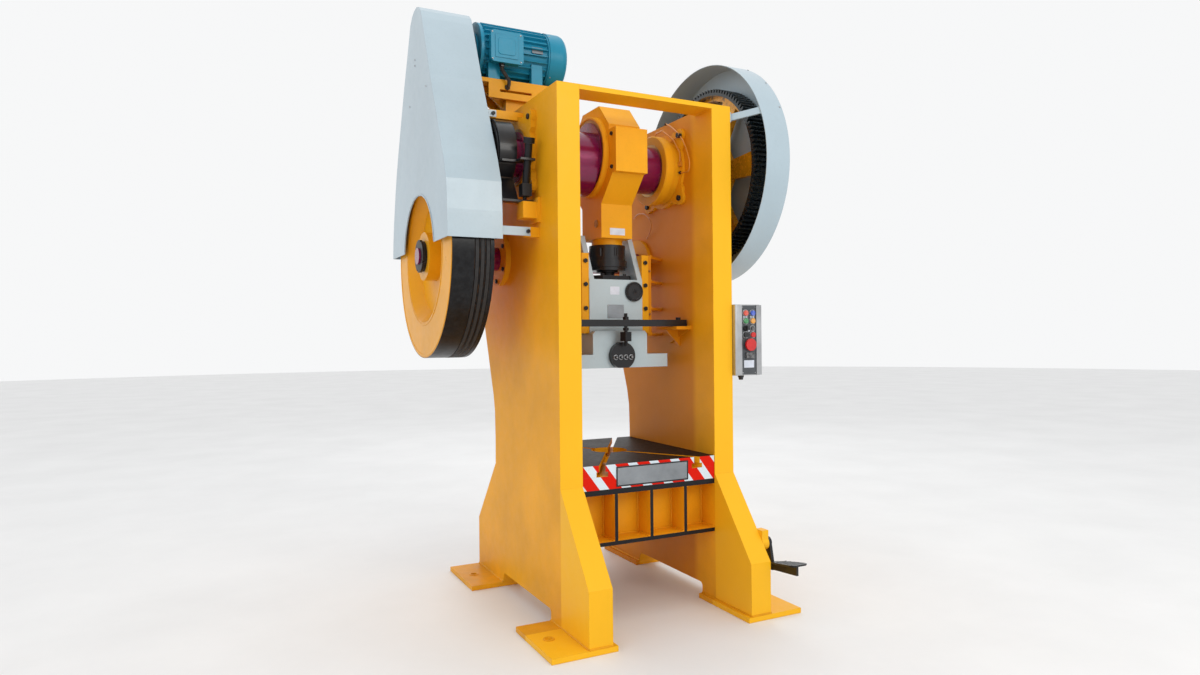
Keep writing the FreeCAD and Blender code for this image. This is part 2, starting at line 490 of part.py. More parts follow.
# three V-belts
def belt(gx):
    r1, r2 = FLY_R, PUL_R
    d = V(0, MOT_Y - BS_Y, MOT_Z - BS_Z)
    L = d.Length
    d.normalize()
    n = V(0, -d.z, d.y)
    kk = (r1 - r2) / L
    c = sqrt(1 - kk * kk)
    def loop(off, xa, xb):
        a, b = V(xa, BS_Y, BS_Z), V(xa, MOT_Y, MOT_Z)
        q = []
        for sgn, r, o in ((1, r1 + off, a), (1, r2 + off, b), (-1, r2 + off, b), (-1, r1 + off, a)):
            q.append(o + d * (r * kk) + n * (sgn * r * c))
        f = Part.Face(Part.makePolygon(q + [q[0]])).extrude(V(xb - xa, 0, 0))
        return cx(xa, xb, BS_Y, BS_Z, r1 + off).fuse([cx(xa, xb, MOT_Y, MOT_Z, r2 + off), f]).removeSplitter()
    return loop(0.5, gx - 8, gx + 8).cut(loop(-10.5, gx - 9, gx + 9)).removeSplitter()
parts["v_belts"] = Part.makeCompound([belt(gx) for gx in GROOVES])

# ------------------------------------------------------------ connecting rod
R_BORE = 184.0
hw = 86.0
cp = [(335, 2424), (520, 2424), (623, 2313), (661, 2240), (661, 2074), (536, 1942), (536, 1775), (319, 1775), (319, 1942), (194, 2074), (232, 2110), (232, 2313)]
cr = poly_x(cp, -hw, hw)
cr = cr.fuse([cx(-110, -hw, AX_Y, PINC_Z, 200), cx(hw, 110, AX_Y, PINC_Z, 200), cz(1745, 1775.01, 0, AX_Y, 78)])
cr = cr.cut(cx(-115, 115, AX_Y, PINC_Z, R_BORE)).cut(cz(1740, 1960, 0, AX_Y, 55)).cut(box(-hw - 1, hw + 1, 150, 231.9, 2000, 2320).cut(box(-hw - 2, hw + 2, 150, 240, 1900, 2073)))
parts["connecting_rod"] = max(cr.removeSplitter().Solids, key=lambda q: q.Volume)
cap = box(-hw, hw, 160, 231.9, 2073, 2285)
parts["con_rod_cap"] = cap
parts["con_rod_bush"] = cx(-110, 110, AX_Y, PINC_Z, R_BORE).cut(cx(-115, 115, AX_Y, PINC_Z, PIN_R + RUN))
scr = cz(1612, 1940, 0, AX_Y, 55).fuse([cz(1490, 1612.01, 0, AX_Y, 36), Part.makeSphere(44, V(0, AX_Y, 1470))])
parts["adjusting_screw"] = scr.removeSplitter()
ln = cz(1620, 1745, 0, AX_Y, 92).fuse(cz(1636, 1668, 0, AX_Y, 100)).cut(cz(1600, 1760, 0, AX_Y, 55))
for j in range(8):
    a0 = 2 * pi * j / 8
    ln = ln.cut(cz(1690, 1730, 96 * cos(a0), AX_Y + 96 * sin(a0), 9))
parts["screw_lock_nut"] = ln.removeSplitter()

# ------------------------------------------------------------ ram
ram = box(-RAM_HW, RAM_HW, RAM_Y0, RAM_Y1, 1300, 1571)
low = poly_y([(-151, 1200), (151, 1200), (151, 1300), (138, 1316), (-138, 1316), (-151, 1300)], RAM_F0, RAM_F1)
flg = box(-269, 269, RAM_F0, RAM_F1, 1134, 1200)
cheek = poly_x([(332, 1570), (437, 1795), (523, 1795), (523, 1570)], 121, RAM_HW)
ram = ram.fuse([low, flg, cheek, mirror_x(cheek)]).removeSplitter()
ram = ram.cut(stadium_z(0, AX_Y - ECC, AX_Y, 49, 1410, 1580))
ram = ram.cut(cz(1130, 1210, 0, AX_Y, 25)).cut(cz(1200, 1296, 0, AX_Y, 12)).cut(cy(280, 322, 0, 1194, 66))
parts["ram"] = ram.removeSplitter()
ret = cz(1571, 1592, 0, AX_Y, 118).cut(box(-200, 200, 200, 600, 1500, 1600).cut(box(-120.6, 120.6, 334, 521, 1490, 1610)))
ret = ret.cut(stadium_z(0, AX_Y - ECC, AX_Y, 58, 1560, 1600))
parts["ball_retainer"] = ret.removeSplitter()
rb = []
for ang in (52, 128, 180, 232, 308, 0):
    a0 = radians(ang)
    py = AX_Y + 88 * sin(a0)
    px = 100 * cos(a0)
    rb.append(cz(1592, 1602, px, min(max(py, 345), 512), 8.5))
dome = cy(262, 322, 0, 1194, 66).cut(box(-80, 80, 200, 360, 1100, 1134))
parts["shank_clamp"] = dome
parts["ram_bolts"] = Part.makeCompound(rb + [hexp(V(x_, 262, 1186), V(0, -1, 0), 17, 10) for x_ in (-42, -14, 14, 42)])
parts["ram_round_cap"] = cy(320, 332, 98, 1512, 49)

# ------------------------------------------------------------ gibs
gb = box(RAM_HW + 0.08, 188, 336, 519, 1304, 1698)
parts["gibs"] = Part.makeCompound([gb, mirror_x(gb)])
br = box(188, 212, 350, 505, 1290, 1698)
ribs = [poly_z([(212, 350), (XI, 470), (XI, 625), (212, 505)], z_, z_ + 13) for z_ in (1290, 1422, 1560, 1685)]
br = fuse(br, *ribs).cut(cx(XI - 19, XI + 1, BS_Y, BS_Z, 136.5)).removeSplitter()
right_col.append(br)
left_col.append(mirror_x(br))
frame_bolts += [hexp(V(s * 168, 336, z_), V(0, -1, 0), 19, 10) for s in (-1, 1) for z_ in (1660, 1545, 1428)]
parts["frame_bolts"] = Part.makeCompound(frame_bolts)

# ------------------------------------------------------------ knock-out bar
parts["knockout_bar"] = box(-342, 342, 221, 250, 1336, 1369).cut(cz(1330, 1380, 0, 235.5, 9))
kb = []
for s in (-1, 1):
    p = box(262, XI, 190, 386, 1320, 1336).fuse([poly_x([(200, 1320), (380, 1320), (380, 1250)], XI - 12, XI), poly_y([(270, 1320), (XI, 1320), (XI, 1236)], 300, 312)])
    p = p.removeSplitter()
    kb.append(mirror_x(p) if s < 0 else p)
left_col.append(kb[0])
right_col.append(kb[1])
parts["knockout_stop_screw"] = Part.makeCompound([cz(1240, 1400, 0, 235.5, 8.5), hexp(V(0, 235.5, 1369), Z, 28, 14).cut(cz(1300, 1400, 0, 235.5, 9)), hexp(V(0, 235.5, 1316), Z, 28, 14).cut(cz(1300, 1400, 0, 235.5, 9)),
                                            hexp(V(0, 235.5, 1264), Z, 54, 46).cut(cz(1200, 1400, 0, 235.5, 9)),
                                            hexp(V(300, 235.5, 1369), Z, 24, 12), hexp(V(-300, 235.5, 1369), Z, 24, 12)])

# ------------------------------------------------------------ control box
CB = (461.0, 621.0, -26.0, 110.0, 1094.0, 1436.0)
cb = box(*CB)
cb = cb.makeFillet(8, [e for e in cb.Edges if abs(e.tangentAt(e.FirstParameter).z) > 0.9])
cb = cb.fuse(box(XO, 475, 10, 90, 1140, 1390)).cut(box(499.6, 586.4, -27, -20, 1090, 1440)).removeSplitter()
panel = box(500, 586, -22, -20, 1097, 1433)
BUT = [("push_button_left", 522, 1290, 13), ("push_button_right", 564, 1290, 13)]
STOPB = (543, 1242, 30)
SEL = (522, 1322)
for n_, bx, bz_, r_ in BUT:
    panel = panel.cut(cy(-30, -15, bx, bz_, r_ - 3 + 0.4))
    cb = cb.cut(cy(-21, 0, bx, bz_, r_ - 3 + 0.4))
panel = panel.cut(cy(-30, -15, STOPB[0], STOPB[1], 10.4)).cut(cy(-30, -15, SEL[0], SEL[1], 8.4))
cb = cb.cut(cy(-21, 8, STOPB[0], STOPB[1], 10.4)).cut(cy(-21, 4, SEL[0], SEL[1], 8.4))
parts["control_box"] = cb
parts["control_panel"] = panel
for n_, bx, bz_, r_ in BUT:
    parts[n_] = cy(-34, -26, bx, bz_, r_).fuse(cy(-26.01, -8, bx, bz_, r_ - 3)).removeSplitter()
parts["stop_mushroom"] = cy(-43, -33, STOPB[0], STOPB[1], STOPB[2]).fuse(cy(-33.01, -6, STOPB[0], STOPB[1], 10)).removeSplitter()
parts["mode_selector"] = cy(-34, -22.4, SEL[0], SEL[1], 13).fuse([cy(-23.01, -6, SEL[0], SEL[1], 8), box(SEL[0] - 3, SEL[0] + 3, -44, -34, SEL[1] - 12, SEL[1] + 12)]).removeSplitter()
lamps = [cy(-32, -22, 522, 1396, 13), cy(-32, -22, 564, 1396, 13), cy(-32, -22, 522, 1358, 13), cy(-32, -22, 564, 1358, 13), cy(-30, -22, 564, 1322, 11), box(520, 566, -36, -22, 1176, 1204)]
parts["panel_lamps"] = Part.makeCompound(lamps)

# ------------------------------------------------------------ foot pedal, pull rod, trip lever
PY, PZ = -190.0, 322.0
RX0, RX1 = 500.0, 512.0
ARM = 320.0
boss = cx(XO, 496, PY, PZ, 33).fuse(box(XO, 496, PY - 26, PY + 26, PZ, 384)).removeSplitter()
boss = boss.cut(cx(490, 500, PY, PZ, 16.06)).cut(cx(470, 500, PY, PZ, 16.06))
right_col.append(boss)
ped = fuse(cx(497, 517, PY, PZ, 26), cx(471, 497.01, PY, PZ, 16),
           poly_x([(-216, 340), (-176, 342), (-168, 300), (-203, 203), (-240, 203), (-235, 245)], 499, 513), poly_x([(-210, 203), (-404, 219), (-404, 262), (-236, 236), (-210, 236)], 501, 511),
           poly_x([(PY, PZ + 24), (PY + ARM + 4, PZ + 14), (PY + ARM + 14, PZ), (PY + ARM + 4, PZ - 14), (PY, PZ - 24)], 499, 507))
leaf = [(492, -236), (520, -236), (546, -285), (560, -345), (563, -385), (558, -405), (545, -413), (492, -413), (480, -405), (476, -385), (477, -345), (483, -285)]
tread = poly_x([(-234, 234), (-414, 262), (-414, 270), (-234, 242)], 470, 570).common(poly_z(leaf, 150, 350))
ped = ped.fuse([tread, cx(499, 521, PY + ARM, PZ, 10)]).removeSplitter()
parts["foot_pedal"] = ped
TY, TZ = 260.0, 1900.0
LA_ = TY - (PY + ARM)
rodx = 514.5
pr = [cz(PZ + 22, TZ - 22, rodx, PY + ARM, 7), cx(508.5, 520.5, PY + ARM, PZ, 26), cx(508.5, 520.5, PY + ARM, TZ, 26)]
def eye(y0, y1, z, r):
    return cx(500, 530, y0, z, r).fuse([cx(500, 530, y1, z, r), box(500, 530, y0, y1, z - r, z + r)])


pr = fuse(*pr).cut(eye(PY + ARM - 5, PY + ARM, PZ, 11.6)).cut(eye(PY + ARM, PY + ARM + 9, TZ, 11.8))
parts["pull_rod"] = pr.removeSplitter()
tbk = cx(XO, 496, TY, TZ, 30).cut(cx(470, 500, TY, TZ, 14.06))
right_col.append(tbk)
parts["right_column"] = Part.makeCompound(right_col)
parts["left_column"] = Part.makeCompound(left_col)
ang = atan2((CRANK_Z - 85) - TZ, (AX_Y - 155) - TY)
nl = 120.0
trip = fuse(cx(497, 507, TY, TZ, 24), cx(471, 497.01, TY, TZ, 14),
            poly_x([(TY, TZ + 20), (TY - LA_ - 2, TZ + 13), (TY - LA_ - 14, TZ), (TY - LA_ - 2, TZ - 13), (TY, TZ - 20)], 497, 507),
            bar(V(502, TY, TZ), V(502, TY + nl * cos(ang), TZ + nl * sin(ang)), 26, 10, V(0, -sin(ang), cos(ang))),
            cx(507, 521, TY - LA_, TZ, 10))
parts["trip_lever"] = trip.removeSplitter()

# ------------------------------------------------------------ grease lines
gl = bent([(300, 440, 2319.5), (300, 440, 2352), (300, 372, 2352), (316, 292, 2290), (328, 248, 2215), (328, 248, 2170.4)], 4, 16)
parts["grease_lines"] = Part.makeCompound([gl, box(321, XI - 16.4, 238, 257, 2147, 2170)])

# ------------------------------------------------------------ write
os.makedirs("parts", exist_ok=True)
for name, s in parts.items():
    s = s.copy()
    s.translate(V(0, -AX_Y, 0))
    if s.ShapeType == "Compound" and len(s.Solids) == 1:
        s = s.Solids[0]
    s.exportStep("parts/" + name + ".step")
    bb = s.BoundBox
    print("%-28s solids %2d valid %s vol %9.3f L  x %7.1f %7.1f y %7.1f %7.1f z %7.1f %7.1f" % (
        name, len(s.Solids), s.isValid(), s.Volume / 1e6, bb.XMin, bb.XMax, bb.YMin, bb.YMax, bb.ZMin, bb.ZMax))
print(len(parts), "nodes")
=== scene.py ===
import bpy
import bmesh
from math import pi, sin, cos, radians, sqrt, atan2
from mathutils import Vector, Matrix, noise


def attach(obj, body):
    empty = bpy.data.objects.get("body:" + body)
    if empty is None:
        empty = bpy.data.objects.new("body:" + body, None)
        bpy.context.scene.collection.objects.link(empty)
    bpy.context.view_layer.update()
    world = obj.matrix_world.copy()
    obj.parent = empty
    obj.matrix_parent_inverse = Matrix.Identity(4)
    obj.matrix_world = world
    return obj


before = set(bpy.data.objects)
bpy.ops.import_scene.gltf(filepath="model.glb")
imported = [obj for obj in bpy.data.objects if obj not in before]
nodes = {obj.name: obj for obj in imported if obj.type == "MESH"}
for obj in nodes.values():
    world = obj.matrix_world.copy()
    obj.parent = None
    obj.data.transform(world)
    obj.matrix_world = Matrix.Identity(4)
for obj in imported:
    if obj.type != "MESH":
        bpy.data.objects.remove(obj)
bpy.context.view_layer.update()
scene = bpy.context.scene


def P(x, y, z):
    """CAD millimetres (y from the columns' front face) to row metres."""
    return Vector((x / 1000.0, (y - 427.5) / 1000.0, z / 1000.0))


def lin(r, g, b):
    out = []
    for c in (r, g, b):
        c /= 255.0
        out.append(c / 12.92 if c <= 0.04045 else ((c + 0.055) / 1.055) ** 2.4)
    return (out[0], out[1], out[2], 1.0)


# ------------------------------------------------------------------ materials
class Mat:
    def __init__(self, name):
        self.m = bpy.data.materials.new(name)
        self.m.use_nodes = True
        self.nt = self.m.node_tree
        self.nt.nodes.clear()
        self.out = self.n("ShaderNodeOutputMaterial")
        self.b = self.n("ShaderNodeBsdfPrincipled")
        self.link(self.b.outputs[0], self.out.inputs[0])
        self.tc = self.n("ShaderNodeTexCoord")
        self.xyz = None

    def n(self, t):
        return self.nt.nodes.new(t)

    def link(self, a, b):
        self.nt.links.new(a, b)

    def put(self, sock, v):
        if isinstance(v, bpy.types.NodeSocket):
            self.link(v, sock)
        else:
            sock.default_value = v

    def noise(self, scale, detail=5.0, rough=0.55, stretch=None, dist=0.0):
        t = self.n("ShaderNodeTexNoise")
        t.inputs["Scale"].default_value = scale
        t.inputs["Detail"].default_value = detail
        t.inputs["Roughness"].default_value = rough
        t.inputs["Distortion"].default_value = dist
        src = self.tc.outputs["Object"]
        if stretch:
            mp = self.n("ShaderNodeMapping")
            mp.inputs["Scale"].default_value = stretch
            self.link(src, mp.inputs["Vector"])
            src = mp.outputs[0]
        self.link(src, t.inputs["Vector"])
        return t.outputs["Fac"]

    def math(self, op, a, b=0.0, c=0.0, clamp=False):
        t = self.n("ShaderNodeMath")
        t.operation = op
        t.use_clamp = clamp
        self.put(t.inputs[0], a)
        self.put(t.inputs[1], b)
        if op in ("MULTIPLY_ADD", "SMOOTH_MIN", "COMPARE"):
            self.put(t.inputs[2], c)
        return t.outputs[0]

    def ramp(self, v, a, b, lo=0.0, hi=1.0):
        t = self.n("ShaderNodeMapRange")
        t.inputs["From Min"].default_value = a
        t.inputs["From Max"].default_value = b
        t.inputs["To Min"].default_value = lo
        t.inputs["To Max"].default_value = hi
        self.link(v, t.inputs["Value"])
        return t.outputs[0]

    def mix(self, f, a, b, mode="MIX"):
        t = self.n("ShaderNodeMix")
        t.data_type = "RGBA"
        t.blend_type = mode
        self.put(t.inputs[0], f)
        self.put(t.inputs[6], a)
        self.put(t.inputs[7], b)
        return t.outputs[2]

    def pos(self, i):
        if self.xyz is None:
            s = self.n("ShaderNodeSeparateXYZ")
            self.link(self.tc.outputs["Object"], s.inputs[0])
            self.xyz = s
        return self.xyz.outputs[i]

    def radius(self, y, z):
        a = self.math("SUBTRACT", self.pos(1), y)
        b = self.math("SUBTRACT", self.pos(2), z)
        return self.math("SQRT", self.math("ADD", self.math("MULTIPLY", a, a), self.math("MULTIPLY", b, b)))

    def edge(self, r=0.004, samples=4):
        """0 on flats, towards 1 along sharp edges"""
        bv = self.n("ShaderNodeBevel")
        bv.samples = samples
        bv.inputs["Radius"].default_value = r
        g = self.n("ShaderNodeNewGeometry")
        d = self.n("ShaderNodeVectorMath")
        d.operation = "DOT_PRODUCT"
        self.link(bv.outputs[0], d.inputs[0])
        self.link(g.outputs["Normal"], d.inputs[1])
        return self.ramp(d.outputs["Value"], 0.995, 0.86)

    def bump(self, h, strength, dist, h2=None, s2=0.0, d2=0.0, bevel=0.0):
        b = self.n("ShaderNodeBump")
        b.inputs["Strength"].default_value = strength
        b.inputs["Distance"].default_value = dist
        self.link(h, b.inputs["Height"])
        if bevel:
            bv = self.n("ShaderNodeBevel")
            bv.samples = 4
            bv.inputs["Radius"].default_value = bevel
            self.link(bv.outputs[0], b.inputs["Normal"])
        last = b
        if h2 is not None:
            c = self.n("ShaderNodeBump")
            c.inputs["Strength"].default_value = s2
            c.inputs["Distance"].default_value = d2
            self.link(h2, c.inputs["Height"])
            self.link(b.outputs[0], c.inputs["Normal"])
            last = c
        self.link(last.outputs[0], self.b.inputs["Normal"])


def enamel(name, col, var=0.10, spec=0.5, rough=(0.26, 0.40), coat=0.35, wear=None, wear_amt=0.5, bevel=0.0015, dirt=0.25, peel=0.10, dusk=None, extra=None):
    """Sprayed machine enamel: tone drift, orange peel, grime, chipped edges."""
    k = Mat(name)
    dark = tuple(c * (1 - var * 1.6) for c in col[:3]) + (1,)
    lite = tuple(min(1, c * (1 + var * 0.7)) for c in col[:3]) + (1,)
    big = k.noise(2.3, 4)
    base = k.mix(k.ramp(big, 0.3, 0.7), dark, lite)
    spk = k.noise(95, 3)
    base = k.mix(k.math("MULTIPLY", k.ramp(spk, 0.52, 0.75), 0.10), base, tuple(c * 0.55 for c in col[:3]) + (1,))
    grime = k.math("MULTIPLY", k.ramp(k.noise(7.5, 8, 0.65), 0.55, 0.80), dirt)
    # darker towards the bottom, within 0.25 m of the floor
    low = k.ramp(k.pos(2), 0.25, 0.0, 0.0, 0.22)
    low = k.math("MULTIPLY", low, k.ramp(k.noise(14, 6), 0.35, 0.65))
    base = k.mix(k.math("ADD", grime, low, clamp=True), base, tuple(c * 0.42 + 0.02 for c in col[:3]) + (1,))
    if extra:
        base = extra(k, base)
    e = k.edge(0.0035)
    wn = k.ramp(k.noise(38, 6, 0.7), 0.45, 0.62)
    wear = wear or tuple(c * 0.55 for c in col[:3]) + (1,)
    base = k.mix(k.math("MULTIPLY", k.math("MULTIPLY", e, wn), wear_amt), base, wear)
    k.link(base, k.b.inputs["Base Color"])
    r = k.ramp(k.noise(24, 6, 0.6), 0.25, 0.75, rough[0], rough[1])
    k.link(r, k.b.inputs["Roughness"])
    k.b.inputs["Specular IOR Level"].default_value = spec
    k.b.inputs["Coat Weight"].default_value = coat
    k.b.inputs["Coat Roughness"].default_value = 0.16
    k.bump(k.noise(330, 2), peel, 0.0006, k.noise(9, 3), 0.10, 0.002, bevel)
    return k.m


def steel(name, col, metal=0.9, rough=(0.28, 0.5), stretch=None, scale=60, wear=(0.5, 0.5, 0.52, 1), wear_amt=0.35, oil=0.3, coat=0.0, bevel=0.0012, bstr=0.12, extra=None):
    """Turned, ground or blackened steel with tool marks, oil and rubbed edges."""
    k = Mat(name)
    n1 = k.noise(5.5, 7, 0.62)
    base = k.mix(k.ramp(n1, 0.3, 0.7), tuple(c * 0.72 for c in col[:3]) + (1,), tuple(min(1, c * 1.18) for c in col[:3]) + (1,))
    marks = k.noise(scale, 4, 0.6, stretch)
    base = k.mix(k.math("MULTIPLY", k.ramp(marks, 0.4, 0.7), 0.25), base, tuple(c * 0.6 for c in col[:3]) + (1,))
    st = k.ramp(k.noise(13, 8, 0.7, dist=0.6), 0.56, 0.75)
    base = k.mix(k.math("MULTIPLY", st, oil), base, tuple(c * 0.3 for c in col[:3]) + (1,))
    if extra:
        base = extra(k, base)
    e = k.math("MULTIPLY", k.edge(0.003), k.ramp(k.noise(50, 5, 0.7), 0.4, 0.6))
    base = k.mix(k.math("MULTIPLY", e, wear_amt), base, wear)
    k.link(base, k.b.inputs["Base Color"])
    k.b.inputs["Metallic"].default_value = metal
    rr = k.ramp(k.math("ADD", k.math("MULTIPLY", marks, 0.5), k.math("MULTIPLY", n1, 0.5)), 0.3, 0.7, rough[0], rough[1])
    k.link(rr, k.b.inputs["Roughness"])
    k.b.inputs["Specular IOR Level"].default_value = (0.08 if metal == 0.0 else 0.3) if metal < 0.5 else 0.5
    k.b.inputs["Coat Weight"].default_value = coat
    k.b.inputs["Coat Roughness"].default_value = 0.12
    k.bump(marks, bstr, 0.0006, k.noise(28, 5), 0.08, 0.0012, bevel)
    return k.m


def plastic(name, col, rough=(0.3, 0.45), bump=0.08, coat=0.2, emit=0.0):
    k = Mat(name)
    base = k.mix(k.ramp(k.noise(18, 6), 0.3, 0.7), tuple(c * 0.8 for c in col[:3]) + (1,), tuple(min(1, c * 1.1) for c in col[:3]) + (1,))
    # painted highlight: sharp edges are lightened
    e = k.math("MULTIPLY", k.edge(0.0015), 0.35)
    base = k.mix(e, base, tuple(min(1, c * 1.5 + 0.04) for c in col[:3]) + (1,))
    k.link(base, k.b.inputs["Base Color"])
    k.link(k.ramp(k.noise(60, 5), 0.3, 0.7, rough[0], rough[1]), k.b.inputs["Roughness"])
    k.b.inputs["Coat Weight"].default_value = coat
    k.bump(k.noise(900, 2), bump, 0.0002, None, 0, 0, 0.0008)
    return k.m


ORANGE = lin(238, 166, 22)
BLACKP = (0.012, 0.012, 0.014, 1)
GREY = lin(172, 190, 200)
RAMG = lin(180, 196, 202)
RED = lin(214, 28, 10)
WHITE = lin(214, 226, 234)
BROWN = lin(34, 25, 21)


def bed_extra(k, base):
    # front edges of flanges and ribs are blacked
    m = k.math("LESS_THAN", k.pos(1), -0.4222)
    return k.mix(m, base, BLACKP)


def bolster_extra(k, base):
    top = k.math("GREATER_THAN", k.pos(2), 0.7126)
    inside = k.math("LESS_THAN", k.pos(2), 0.7124)
    base = k.mix(inside, base, k.mix(k.ramp(k.noise(6, 5), 0.3, 0.7), tuple(c * 0.7 for c in ORANGE[:3]) + (1,), ORANGE))
    front = k.math("LESS_THAN", k.pos(1), -0.4222)
    u = k.math("ADD", k.pos(0), k.math("MULTIPLY", k.pos(2), 0.75))
    u = k.math("DIVIDE", k.math("SUBTRACT", u, 0.1880 - 1.12), 0.112)
    f = k.math("FRACT", u)
    w = k.math("LESS_THAN", f, 0.42)
    chip = k.math("MULTIPLY", k.ramp(k.noise(120, 4, 0.7), 0.60, 0.70), 0.35)
    band = k.mix(w, RED, WHITE)
    band = k.mix(chip, band, tuple(c * 0.5 for c in RED[:3]) + (1,))
    return k.mix(front, base, band)


def column_painted_light(k, base):
    # painted shadow: the inner sides are a little deeper orange away from the front edges; painted highlight: the front
    # faces are a lighter orange
    inner = k.math("LESS_THAN", k.math("ABSOLUTE", k.pos(0)), 0.352)
    # painted shadow band on the inner sides, starting behind the front edges
    painted_shadow = k.ramp(k.math("ADD", k.pos(1), k.math("MULTIPLY", k.noise(3.0, 2), 0.03)), -0.262, -0.222, 0.0, 0.55)
    base = k.mix(k.math("MULTIPLY", inner, k.math("MULTIPLY", painted_shadow, 1.0, clamp=True)), base, lin(196, 104, 8))
    # painted highlight: the front faces are lightened
    front = k.math("LESS_THAN", k.pos(1), -0.4272)
    return k.mix(k.math("MULTIPLY", front, 0.75), base, lin(250, 190, 34))


def gear_extra(k, base):
    r = k.radius(0.0, 2.15)
    m = k.math("LESS_THAN", r, 0.4235)
    org = k.mix(k.ramp(k.noise(8, 6), 0.3, 0.7), tuple(c * 0.7 for c in ORANGE[:3]) + (1,), ORANGE)
    grease = k.math("MULTIPLY", k.ramp(k.noise(30, 6, 0.7), 0.52, 0.66), k.ramp(r, 0.33, 0.42))
    org = k.mix(grease, org, BLACKP)
    hub = k.math("LESS_THAN", r, 0.104)
    return k.mix(m, base, k.mix(hub, org, (0.10, 0.10, 0.10, 1)))


def fly_extra(k, base):
    r = k.radius(0.29040661, 1.69)
    rim = k.math("GREATER_THAN", r, 0.4975)
    inner = k.math("LESS_THAN", r, 0.484)
    grooves = k.math("MULTIPLY", k.math("GREATER_THAN", r, 0.4845), k.math("GREATER_THAN", k.pos(0), -0.80))
    blk = k.mix(k.ramp(k.noise(40, 6, 0.7), 0.4, 0.7), (0.004, 0.004, 0.005, 1), (0.014, 0.015, 0.017, 1))
    m = k.math("MAXIMUM", rim, k.math("MULTIPLY", grooves, k.math("LESS_THAN", k.pos(0), -0.6725)))
    return k.mix(m, base, blk)


def coat_extra(k, base):
    # fine turned rings along the shaft
    t = k.n("ShaderNodeTexWave")
    t.bands_direction = "X"
    t.inputs["Scale"].default_value = 170
    t.inputs["Distortion"].default_value = 0.6
    k.link(k.tc.outputs["Object"], t.inputs["Vector"])
    return k.mix(k.math("MULTIPLY", t.outputs["Fac"], 0.35), base, lin(96, 0, 60))


M_ORANGE = enamel("orange_enamel", ORANGE, dirt=0.06, coat=0.04, spec=0.16, rough=(0.34, 0.50), wear=lin(150, 86, 16), wear_amt=0.45)
M_COLUMN = enamel("column_enamel", ORANGE, dirt=0.06, coat=0.04, spec=0.16, rough=(0.34, 0.50), wear=lin(150, 86, 16), wear_amt=0.45, extra=column_painted_light)
M_BED = enamel("bed_enamel", ORANGE, dirt=0.10, coat=0.04, spec=0.16, rough=(0.34, 0.50), wear=lin(140, 86, 20), wear_amt=0.25, extra=bed_extra)
M_FLY = enamel("flywheel_enamel", ORANGE, dirt=0.12, coat=0.06, spec=0.2, wear=lin(140, 86, 20), extra=fly_extra)
M_GREY = enamel("guard_grey", GREY, var=0.05, dirt=0.06, wear=lin(120, 124, 128), wear_amt=0.5, peel=0.05, rough=(0.3, 0.42), coat=0.25)
M_RAM = enamel("ram_grey", RAMG, var=0.07, dirt=0.10, wear=lin(96, 98, 96), wear_amt=0.5)
M_BLUE = enamel("motor_blue", lin(30, 138, 170), var=0.12, coat=0.08, spec=0.22, dirt=0.22, wear=lin(14, 60, 80), wear_amt=0.5, peel=0.08)
M_BLACK = steel("black_oxide", (0.012, 0.012, 0.014, 1), metal=0.2, rough=(0.30, 0.50), wear=(0.22, 0.22, 0.23, 1), wear_amt=0.5, oil=0.35)
M_BLACK2 = enamel("black_enamel", (0.010, 0.010, 0.012, 1), var=0.2, dirt=0.2, wear=(0.12, 0.11, 0.11, 1), wear_amt=0.3, coat=0.25, spec=0.3)
M_BOLSTER = steel("bolster_black", BROWN, metal=0.0, rough=(0.42, 0.58), wear=(0.18, 0.16, 0.15, 1), wear_amt=0.3, oil=0.4, coat=0.0, extra=bolster_extra)
M_GEAR = steel("greased_iron", (0.020, 0.026, 0.030, 1), metal=0.35, rough=(0.18, 0.38), wear=(0.20, 0.24, 0.25, 1), wear_amt=0.45, oil=0.5, coat=0.6, extra=gear_extra)
M_BARE = steel("machined_steel", (0.42, 0.43, 0.44, 1), metal=1.0, rough=(0.22, 0.38), stretch=(30, 1, 1), oil=0.25, wear=(0.7, 0.7, 0.72, 1))
M_PLATE = steel("brushed_plate", (0.30, 0.32, 0.34, 1), metal=0.9, rough=(0.28, 0.42), stretch=(0.3, 8, 30), oil=0.12, wear=(0.12, 0.12, 0.13, 1))
M_MAG = steel("tinted_film", lin(132, 4, 72), metal=0.25, rough=(0.16, 0.28), stretch=(40, 1, 1), oil=0.35, coat=0.6, wear=lin(205, 80, 150), wear_amt=0.3, bstr=0.2, extra=coat_extra)
M_BRONZE = steel("bearing_bronze", (0.50, 0.30, 0.11, 1), metal=1.0, rough=(0.28, 0.45), oil=0.3, wear=(0.75, 0.55, 0.3, 1))
M_ALU = steel("box_aluminium", (0.50, 0.51, 0.52, 1), metal=0.9, rough=(0.30, 0.42), stretch=(1, 1, 0.05), scale=260, oil=0.08, wear=(0.75, 0.76, 0.77, 1))
M_PANEL = plastic("panel_grey", lin(70, 74, 78))
M_BPLA = plastic("black_moulding", (0.014, 0.014, 0.016, 1))
M_RED = plastic("red_moulding", lin(205, 16, 12), coat=0.6, rough=(0.18, 0.28))
M_LINING = plastic("lining_compound", lin(86, 70, 56), rough=(0.7, 0.85), bump=0.5, coat=0.0)
M_RUB = plastic("belt_rubber", (0.016, 0.016, 0.017, 1), rough=(0.55, 0.75), bump=0.5, coat=0.0)
M_LABEL = plastic("blank_label", lin(214, 220, 232), rough=(0.3, 0.42), coat=0.3)
M_GREASE_PIPE = enamel("pipe_paint", lin(214, 138, 40), dirt=0.25, wear=lin(120, 80, 40), bevel=0.0004)


